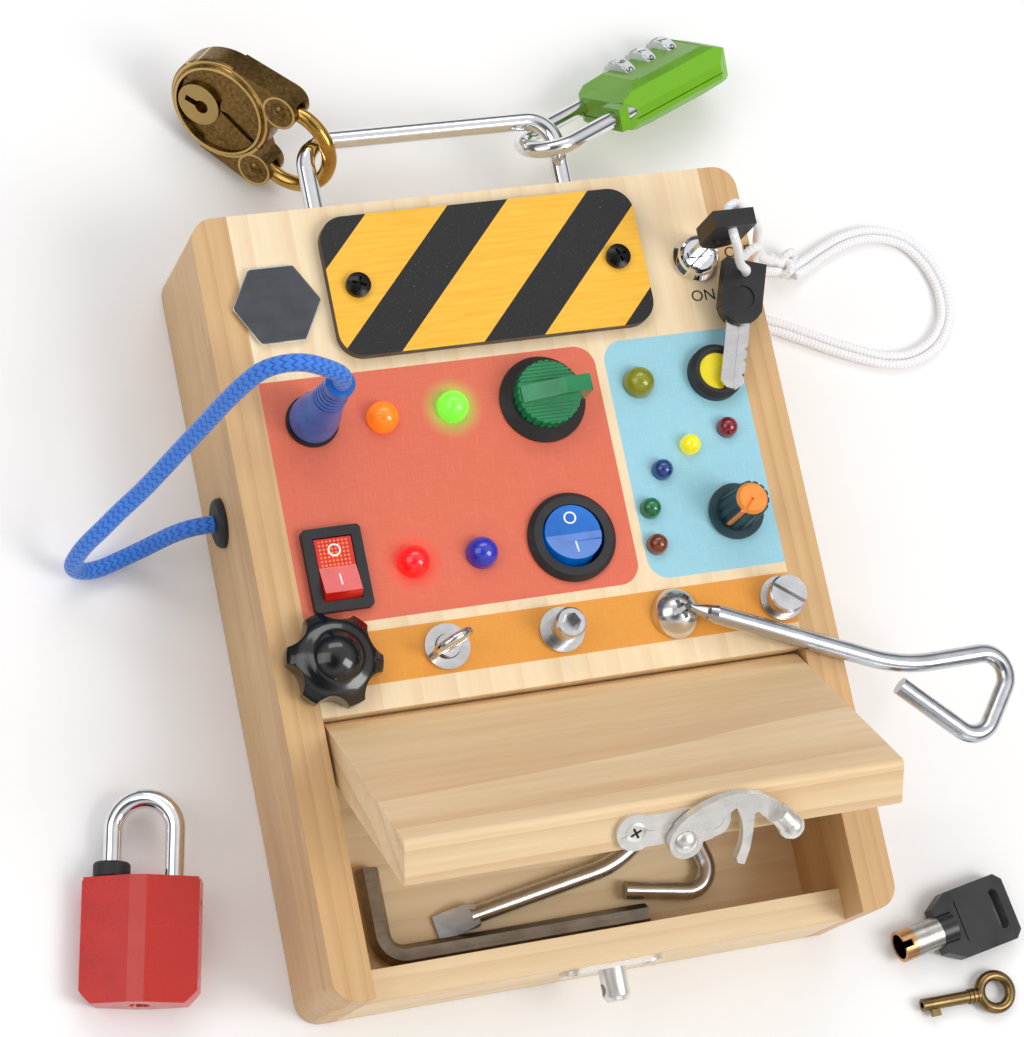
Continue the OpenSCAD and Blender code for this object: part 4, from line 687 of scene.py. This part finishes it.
def brass_lock_finish():
    """Antique brass: a mottled dark face, bright double rims and edges, and a paler boss."""
    material, tree, shader, here = blank_finish("antique_brass")
    flat = vectors(tree, "MULTIPLY", local_point(tree, here, ROUND_LOCK), (1.0, 1.0, 0.0))
    skin = use(tree, BRUSHED, Vector=here, Fineness=300.0)
    spots = levels(tree, noise(tree, here, 900.0, 4.0, 0.7, 0.6), 0.4, 0.66)
    broad = levels(tree, noise(tree, here, 110.0, 2.0, 0.5), 0.35, 0.65)
    reach = length(tree, flat)
    rim = larger(tree, band(tree, reach, 12.25, 12.95), band(tree, reach, 13.5, 14.3))
    from_lug = away_from(tree, vectors(tree, "ABSOLUTE", flat), (0.0148, 0.0109, 0.0))
    lug = band(tree, length(tree, from_lug), 4.1, 4.7)
    boss = levels(tree, length(tree, away_from(tree, flat, (-0.0055, -0.002, 0.0))), 0.00605, 0.00595)
    colour = blend_colours(tree, times(tree, spots, 0.7), (92, 70, 38), (158, 126, 72))
    colour = blend_colours(tree, times(tree, broad, 0.4), colour, (132, 102, 54))
    colour = blend_colours(tree, times(tree, boss, 0.75), colour, (186, 158, 100))
    colour = blend_colours(tree, times(tree, larger(tree, rim, lug), 0.85), colour, (212, 178, 112))
    relief = plus(tree, spots, skin["Height"])
    settle(tree, shader, here, colour, (0.24, 0.42), (relief, 0.12, 0.03), {"Metallic": 1.0})
    return material


def mirror_finish():
    """Mirror tile: a bright ground edge round a silvered face coloured dark grey, a painted reflection of a
    dark room.
    """
    material, tree, shader, here = blank_finish("mirror_silver")
    skin = use(tree, BRUSHED, Vector=here, Fineness=500.0)
    upward = axes(tree, put(tree, "ShaderNodeNewGeometry").outputs["Normal"])[2]
    # painted reflection: the upward face gets a dark grey colour in place of the dark room it would mirror
    face = blend_colours(tree, skin["Tone"], (84, 86, 90), (100, 102, 106))
    colour = blend_colours(tree, levels(tree, upward, 0.9, 0.995), (246, 247, 248), face)
    settle(tree, shader, here, colour, (0.02, 0.07), plain={"Metallic": 1.0})
    return material


def pot_finish():
    """Dark fluted knob with an orange cap and an orange pointer down one side."""
    material, tree, shader, here = blank_finish("knob_teal_and_orange")
    own = away_from(tree, here, metres(POT_PLACE))
    skin = use(tree, MOULDED, Vector=here, Scale=2600.0)
    height = axes(tree, own)[2]
    reach = length(tree, vectors(tree, "MULTIPLY", own, (1.0, 1.0, 0.0)))
    cap = times(tree, above(tree, height, 0.0131), below(tree, reach, 0.00412))
    outward = above(tree, along(tree, own, (-0.7071, -0.7071, 0.0)), 0.002)
    aside = below(tree, size_of(tree, along(tree, own, (-0.7071, 0.7071, 0.0))), 0.00062)
    pointer = times(tree, aside, times(tree, outward, above(tree, height, 0.0032)))
    teal = blend_colours(tree, skin["Tone"], (20, 50, 60), (34, 68, 78))
    orange = blend_colours(tree, skin["Tone"], (240, 140, 48), (250, 158, 70))
    colour = blend_colours(tree, larger(tree, cap, pointer), teal, orange)
    settle(tree, shader, here, colour, (0.38, 0.52), (skin["Height"], 0.25, 0.05))
    return material


def tube_key_finish():
    """Tubular key: bright tube with a copper-coloured mouth and a bore painted dark as painted shade, in a
    black moulded head.
    """
    material, tree, shader, here = blank_finish("tube_key_steel_and_black")
    own = local_point(tree, here, TUBE_KEY)
    skin = use(tree, BRUSHED, Vector=here, Fineness=900.0)
    from_mouth = axes(tree, own)[0]
    radius = length(tree, vectors(tree, "MULTIPLY", own, (0.0, 1.0, 1.0)))
    tube = times(tree, below(tree, from_mouth, 0.0115), below(tree, radius, 0.0043))
    bright = blend_colours(tree, skin["Tone"], (150, 146, 140), (206, 202, 196))
    bright = blend_colours(tree, below(tree, from_mouth, 0.0036), bright, (196, 150, 104))
    # painted shade: the bore inside the tube is coloured dark
    bright = blend_colours(tree, below(tree, radius, 0.00335), bright, (60, 44, 34))
    black = blend_colours(tree, skin["Tone"], (24, 24, 26), (38, 38, 41))
    colour = blend_colours(tree, tube, black, bright)
    settle(tree, shader, here, colour, (0.22, 0.4), (skin["Height"], 0.08, 0.03), {"Metallic": tube})
    return material


def lacquer(name, deep, pale, painted_shading_colour, axis, gloss, span):
    """Sprayed lacquer with a slight orange-peel skin. The faces that look along axis get another colour, which
    paints light and shade on that side.
    """
    material, tree, shader, here = blank_finish(name)
    skin = use(tree, MOULDED, Vector=here, Scale=700.0)
    normal = put(tree, "ShaderNodeNewGeometry").outputs["Normal"]
    # painted light and shade: the colour changes with the way each face looks
    painted_shading_share = levels(tree, along(tree, normal, axis), *span)
    colour = blend_colours(tree, painted_shading_share, blend_colours(tree, skin["Tone"], deep, pale), painted_shading_colour)
    plain = {"Coat Weight": 0.2, "Coat Roughness": 0.2}
    settle(tree, shader, here, colour, gloss, (skin["Height"], 0.12, 0.05), plain)
    return material


def cord_finish(name, deep, pale, strands, pitch, depth=0.2):
    """Braided cord on its own UV map."""
    material, tree, shader, here = blank_finish(name)
    plait = use(tree, BRAID, Vector=put(tree, "ShaderNodeTexCoord").outputs["UV"], Strands=strands, Pitch=pitch)
    fibre = noise(tree, here, 3800.0, 2.0, 0.6)
    colour = blend_colours(tree, plait["Shade"], deep, pale)
    feed(tree, shader, {
        "Base Color": blend_colours(tree, times(tree, fibre, 0.25), colour, pale),
        "Roughness": levels(tree, fibre, 0.3, 0.7, 0.5, 0.72), "Sheen Weight": 0.3})
    add_bump(tree, shader, plus(tree, plait["Height"], times(tree, fibre, 0.2)), 0.7, depth)
    return material


def rocker_finish():
    """Red translucent rocker whose O end is lit from below through a grid of orange dots."""
    material, tree, shader, here = blank_finish("red_lit_rocker")
    skin = use(tree, MOULDED, Vector=here, Scale=2200.0)
    cell = vectors(tree, "FRACTION", stretched(tree, here, (1000.0, 1000.0, 0.0)))
    dot = levels(tree, length(tree, away_from(tree, cell, (0.5, 0.5, 0.0))), 0.34, 0.2)
    field = use(tree, PATCH, Vector=here, Corner=0.0006, Centre=(-0.0529, 0.0092, 0),
                Half=(0.0038, 0.0035, 1.0))
    lit = times(tree, dot, field["Mask"])
    colour = blend_colours(tree, skin["Tone"], (196, 24, 16), (226, 44, 30))
    colour = blend_colours(tree, times(tree, lit, 0.8), colour, (255, 150, 60))
    plain = {
        "Emission Color": blend_colours(tree, lit, (120, 6, 2), (255, 130, 40)), "Emission Strength": 0.35,
        "Transmission Weight": 0.1, "Coat Weight": 0.5}
    settle(tree, shader, here, colour, (0.14, 0.24), (skin["Height"], 0.08, 0.03), plain)
    return material


GREEN_TOP = (0.398, -0.497, 0.771)
face_wood = face_finish()
# the lime lock's faces along GREEN_TOP are painted lighter and yellower: painted light
green_lacquer = lacquer(
    "lime_lacquer", (92, 148, 22), (108, 164, 34), (112, 178, 4), GREEN_TOP, (0.3, 0.42), (0.55, 0.85))
# the red lock's upward faces are painted a darker red: painted shade
red_lacquer = lacquer(
    "red_lacquer", (190, 18, 14), (204, 30, 22), (186, 30, 14), (0, 0, 1), (0.22, 0.32), (0.86, 0.97))

for finish, rounded, names in (
    (side_wood, 0.9, "side_walls"),
    (face_wood, None, "face_panel"),
    (rail_wood, None, "top_rail divider"),
    (wall_wood, None, "bottom_wall"),
    (back_wood, None, "back_panel"),
    (lid_wood, 0.5, "lid"),
    (sign_finish(), 0.35, "sign_plate"),
    (screw_finish(), None, "screws"),
    (mirror_finish(), 0.6, "mirror_tile"),
    (chrome, None, "handle dial_lock_shackle small_lock_shackle key_switch_case key_barrel"),
    (steel, None, "key_blade_a key_blade_b pot_case eye_screw washers dome_bolt"),
    (nickel, 0.15, "latch_base latch_arm keeper"),
    (machined, None, "socket_bolt slotted_bolt"),
    (zinc, None, "cross_tool flat_tool"),
    (hex_steel, None, "hex_key"),
    (black_case, None, "rocker_rect_case rocker_round_case selector_case button_case"),
    (key_black, 0.5, "key_head_a key_head_b"),
    (rubber, None, "jack grommet"),
    (black_gloss, 0.9, "star_knob"),
    (rocker_finish(), 0.3, "rocker_rect"),
    (blue_clear, 0.3, "rocker_round"),
    (green_clear, None, "selector_knob"),
    (button_yellow, 0.4, "button_cap"),
    (pot_finish(), None, "pot_knob"),
    (plug_blue, None, "plug"),
    (grey_case, None, "battery_box battery_door"),
    (cell_wrap, None, "batteries"),
    (brass_lock_finish(), None, "round_lock_case"),
    (gold, None, "round_lock_shackle"),
    (aged_brass, None, "brass_key"),
    (green_lacquer, 0.35, "dial_lock_case"),
    (red_lacquer, 0.4, "small_lock_case"),
    (tube_key_finish(), None, "tube_key"),
):
    for node in names.split():
        dress(node, finish, rounded)
for mark in "abc":
    silver = plastic("dial_silver_" + mark, (206, 208, 212), (232, 234, 236), (0.25, 0.38), 0.08)
    dress("dial_" + mark, silver)


# ---------------------------------------------------------------- lamps
def lamp(name, x, y, radius, rise, deep, pale, power, node):
    """A lamp dome that starts rise above the face, with its hidden body below."""
    steps = [(radius - 0.3, -9.0), (radius, -9.0), (radius, rise)]
    for k in range(1, 13):
        a = math.radians(k * 7.45)
        steps.append((radius * math.cos(a), rise + radius * math.sin(a)))
    clear = 0.0 if power > 0.5 else 0.25
    lens = plastic(name + "_lens", deep, pale, (0.06, 0.14), 0.05, scale=800.0, clear=clear, coat=0.6,
                   glow=pale, glow_power=power)
    dome = finish_piece(turned(steps, 40), name, lens, "board", shift(x, y, FACE))
    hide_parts(node)


for name, x, y, deep, pale, power in (
    ("lamp_olive", 34.5, 43.1, (132, 138, 10), (170, 172, 24), 0.05),
    ("lamp_orange", -33.8, 42.2, (240, 112, 6), (255, 150, 20), 0.3),
    ("lamp_green_lit", -15.4, 42.7, (84, 214, 40), (130, 255, 70), 0.55),
    ("lamp_red_lit", -33.2, 4.9, (226, 8, 12), (255, 24, 24), 0.6),
    ("lamp_blue", -15.5, 4.8, (26, 32, 150), (52, 62, 200), 0.15),
):
    lamp(name, x, y, 4.0, 0.8, deep, pale, power, "lamps_big")
for name, x, y, deep, pale, power in (
    ("small_lamp_red", 55.4, 28.5, (104, 8, 26), (150, 22, 42), 0.05),
    ("small_lamp_yellow", 44.5, 25.2, (226, 214, 8), (248, 238, 30), 0.25),
    ("small_lamp_blue", 35.7, 19.7, (14, 48, 110), (30, 76, 156), 0.05),
    ("small_lamp_green", 30.4, 10.2, (14, 104, 62), (34, 140, 86), 0.05),
    ("small_lamp_brown", 30.1, 0.8, (120, 50, 14), (160, 76, 30), 0.05),
):
    lamp(name, x, y, 2.6, 1.2, deep, pale, power, "lamps_small")

# ---------------------------------------------------------------- free cords
ROPE_POINTS = [
    (-51.6, 43.5, 75.2), (-51.6, 43.5, 77.4), (-53, 43.9, 81), (-57, 45, 84), (-62, 46, 86.5),
    (-67, 46.5, 86.5), (-71.5, 46.5, 83.5), (-75, 45.5, 78.5), (-79, 43.5, 70), (-83, 41, 60.5),
    (-87, 38.5, 52), (-91.5, 35.5, 43.5), (-95.5, 33, 36), (-100, 30.5, 29.5), (-104, 28, 24),
    (-107.5, 26, 18), (-109.5, 24.3, 12), (-109.5, 23.3, 6.8), (-106.5, 22.8, 3.5), (-102, 23.2, 2.6),
    (-97, 24.5, 3.2), (-92, 25.6, 6), (-88, 26.3, 10), (-85, 26.6, 14), (-81.5, 26.6, 18), (-78, 26.6, 19.4),
    (-75.2, 26.6, 19.6)]
LANYARD_POINTS = [
    (98.5, 83.2, 3.4), (95.5, 82.8, 5), (92, 82.4, 8.5), (88.5, 82, 13.5), (85.5, 81.6, 19), (82.8, 81.2, 25),
    (80.3, 80.9, 31.5), (78, 80.6, 38), (75.8, 80.3, 44.3), (73, 80.1, 50), (69.8, 79.9, 55.5),
    (66.3, 79.6, 61), (63, 79.4, 66), (60.4, 79.2, 69.6), (58.7, 78.6, 70.8), (57.2, 77, 71.2),
    (57.2, 71.4, 71.2), (57.7, 69.6, 70.3), (59, 68.4, 67.5), (60.6, 67.8, 63.5), (62.2, 67.3, 59.5),
    (64, 67, 55.8), (66.7, 66.8, 51.7), (66.8, 67.1, 45.9), (67.1, 67.9, 44.8), (68, 70.1, 44.35),
    (69.8, 72.6, 44.4), (72, 74.2, 44.8), (73.8, 75.1, 44.4), (75.6, 75.8, 41.8), (77, 76.4, 37.5),
    (78.6, 77, 32), (80.6, 77.6, 26), (83, 78.2, 20), (86, 78.8, 14), (90, 79.4, 8.6), (95, 80, 4.6),
    (100.5, 81, 2.2), (106, 83.4, 1.35), (112, 86.3, 1.3), (118, 88.6, 1.3), (124.5, 89.7, 1.3),
    (131, 89, 1.3), (137, 86.4, 1.3), (141.5, 81.6, 1.3), (144.5, 75.3, 1.3), (145.6, 68.4, 1.3),
    (144.4, 61.5, 1.3), (140.6, 55.8, 1.3), (135, 52.1, 1.3), (128.4, 50.6, 1.3), (121.5, 51.4, 1.3),
    (114.5, 53.9, 1.3), (107.5, 57, 1.3), (100.5, 60.5, 1.3), (93.5, 63.9, 1.3), (86.5, 66.6, 1.3),
    (80, 68.6, 1.3)]
LOOP_START = (100.5, 81, 2.2)
ROPE_ACROSS, LANYARD_ACROSS, KNOT_ACROSS = 4.4, 2.4, 2.3
STRAND_GAP = 2.45  # between the loop's two strands


def white_piece(obj):
    """Another piece of the lanyard, which lies on the board's side."""
    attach(obj, "board")
    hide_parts("white_cord")


def free_cord(name, points, across, material, node):
    """A loose cord: a tube along the smoothed points, in place of the hidden CAD node."""
    line = smooth_route(points)
    obj = cord_tube(name, line, across, material)
    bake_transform(obj)
    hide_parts(node)


def knot_point(k, turns=60):
    """A point of the overhand knot that ties the lanyard's two runs together."""
    a = 2 * math.pi * k / turns
    across, up = math.sin(a) + 1.4 * math.sin(2 * a), math.cos(a) - 1.4 * math.cos(2 * a)
    return Vector((98.2 + 1.7 * across, 82.4 + 1.45 * up, 4.4 - 1.5 * math.sin(3 * a))) * MM


blue_braid = cord_finish("blue_braid", (16, 74, 176), (52, 132, 234), 8.0, 2.1)
white_braid = cord_finish("white_braid", (224, 224, 227), (250, 250, 252), 6.0, 2.2, 0.07)
free_cord("rope_braid", ROPE_POINTS, ROPE_ACROSS, blue_braid, "rope")
white_piece(cord_tube("lanyard_knot", [knot_point(k) for k in range(61)], KNOT_ACROSS, white_braid))
free_cord("lanyard_braid", LANYARD_POINTS, LANYARD_ACROSS, white_braid, "white_cord")

outer = smooth_route(LANYARD_POINTS[LANYARD_POINTS.index(LOOP_START):])
inner = []
for i, p in enumerate(outer):
    forward = (outer[min(i + 1, len(outer) - 1)] - outer[max(i - 1, 0)]).normalized()
    inner.append(p + forward.cross(Vector((0, 0, 1))).normalized() * STRAND_GAP * MM)
second = cord_tube("lanyard_second_strand", inner, LANYARD_ACROSS, white_braid)
white_piece(second)

# ---------------------------------------------------------------- lettering and marks
lettering("OFF", 4.2, 0.06, shift(69.1, 74.8, FACE + 0.03), "label_off", ink, "board")
lettering("ON", 4.2, 0.06, shift(57.2, 64.1, FACE + 0.03), "label_on", ink, "board")
MARK_REACH = 3.9  # from the rocker's middle to its marks
MARK_RISE = 3.2 + MARK_REACH * math.tan(math.radians(ROCKER_TILT))
for body, x, y in (("rocker_one", -52.9, 5.5), ("rocker_two", 8.3, 5.6)):
    for mark, label, way in (("O", "_off_mark", 1), ("I", "_on_mark", -1)):
        home = shift(x, y, FACE - 1) @ spin(-ROCKER_TILT, "X") @ shift(0, way * MARK_REACH, MARK_RISE)
        home = home @ spin(way * ROCKER_TILT, "X")
        lettering(mark, 4.6, 0.12, home, body + label, white_print, body)

for wheel, i, digits in (("wheel_a", -1, "567"), ("wheel_b", 0, "678"), ("wheel_c", 1, "678")):
    for k, digit in enumerate(digits):
        centre = home_of(DIAL_LOCK) @ shift(-2.6 - i * 8.2, -6.5, 2.4)
        home = centre @ spin(36 * (k - 1) - 14, "X") @ shift(0, 0, 5.33) @ spin(-90, "Z")
        lettering(digit, 3.3, 0.05, home, wheel + "_digit_" + digit, ink, wheel)

# the rubber collar round one leg of the small lock's shackle
collar = turned([(2.5, 0.0), (4.3, 0.0), (4.6, 0.4), (4.6, 3.4), (4.2, 3.9), (2.5, 3.9)], 48, hollow=True)
at_leg = shift(-112.5, -87, 7.4) @ spin(-11.9, "Z") @ spin(-18.6, "Y") @ shift(-7.75, 31.05, 0) @ spin(-90, "X")
finish_piece(collar, "shackle_collar", rubber, "small_lock", at_leg)

# the low head of the latch plate's open screw, with its cross recess
screw_head = turned([(2.55, -0.08), (2.55, 0.03), (2.3, 0.15), (1.5, 0.19)], 40)
for angle in (25, 115):
    bpy.ops.object.select_all(action="DESELECT")
    bpy.ops.mesh.primitive_cube_add(size=MM, location=(0, 0, 0))
    cutter = bpy.context.active_object
    cutter.data.transform(shift(0, 0, 0.26) @ spin(angle, "Z") @ Matrix.Diagonal((2.9, 0.6, 0.6, 1.0)))
    groove = screw_head.modifiers.new("groove", "BOOLEAN")
    groove.operation, groove.object, groove.solver = "DIFFERENCE", cutter, "EXACT"
    bpy.context.view_layer.objects.active = screw_head
    bpy.ops.object.modifier_apply(modifier="groove")
    bpy.data.objects.remove(cutter)
at_screw = home_of(LID_END) @ shift(-6.5, -0.8, LATCH_PLATE)
finish_piece(screw_head, "latch_screw_head", latch_screw_finish(), "lid", at_screw)

# ---------------------------------------------------------------- floor
bpy.ops.object.select_all(action="DESELECT")
bpy.ops.mesh.primitive_plane_add(size=4, location=(0, 0, -0.0002))
floor = bpy.context.active_object
floor.name = "floor"
material, tree, shader, here = blank_finish("pale_floor")
speck = noise(tree, here, 30.0, 2.0, 0.5)
feed(tree, shader, {
    "Base Color": blend_colours(tree, speck, (0.93, 0.93, 0.93, 1), (0.95, 0.95, 0.95, 1)), "Roughness": 0.7})
floor.data.materials.append(material)
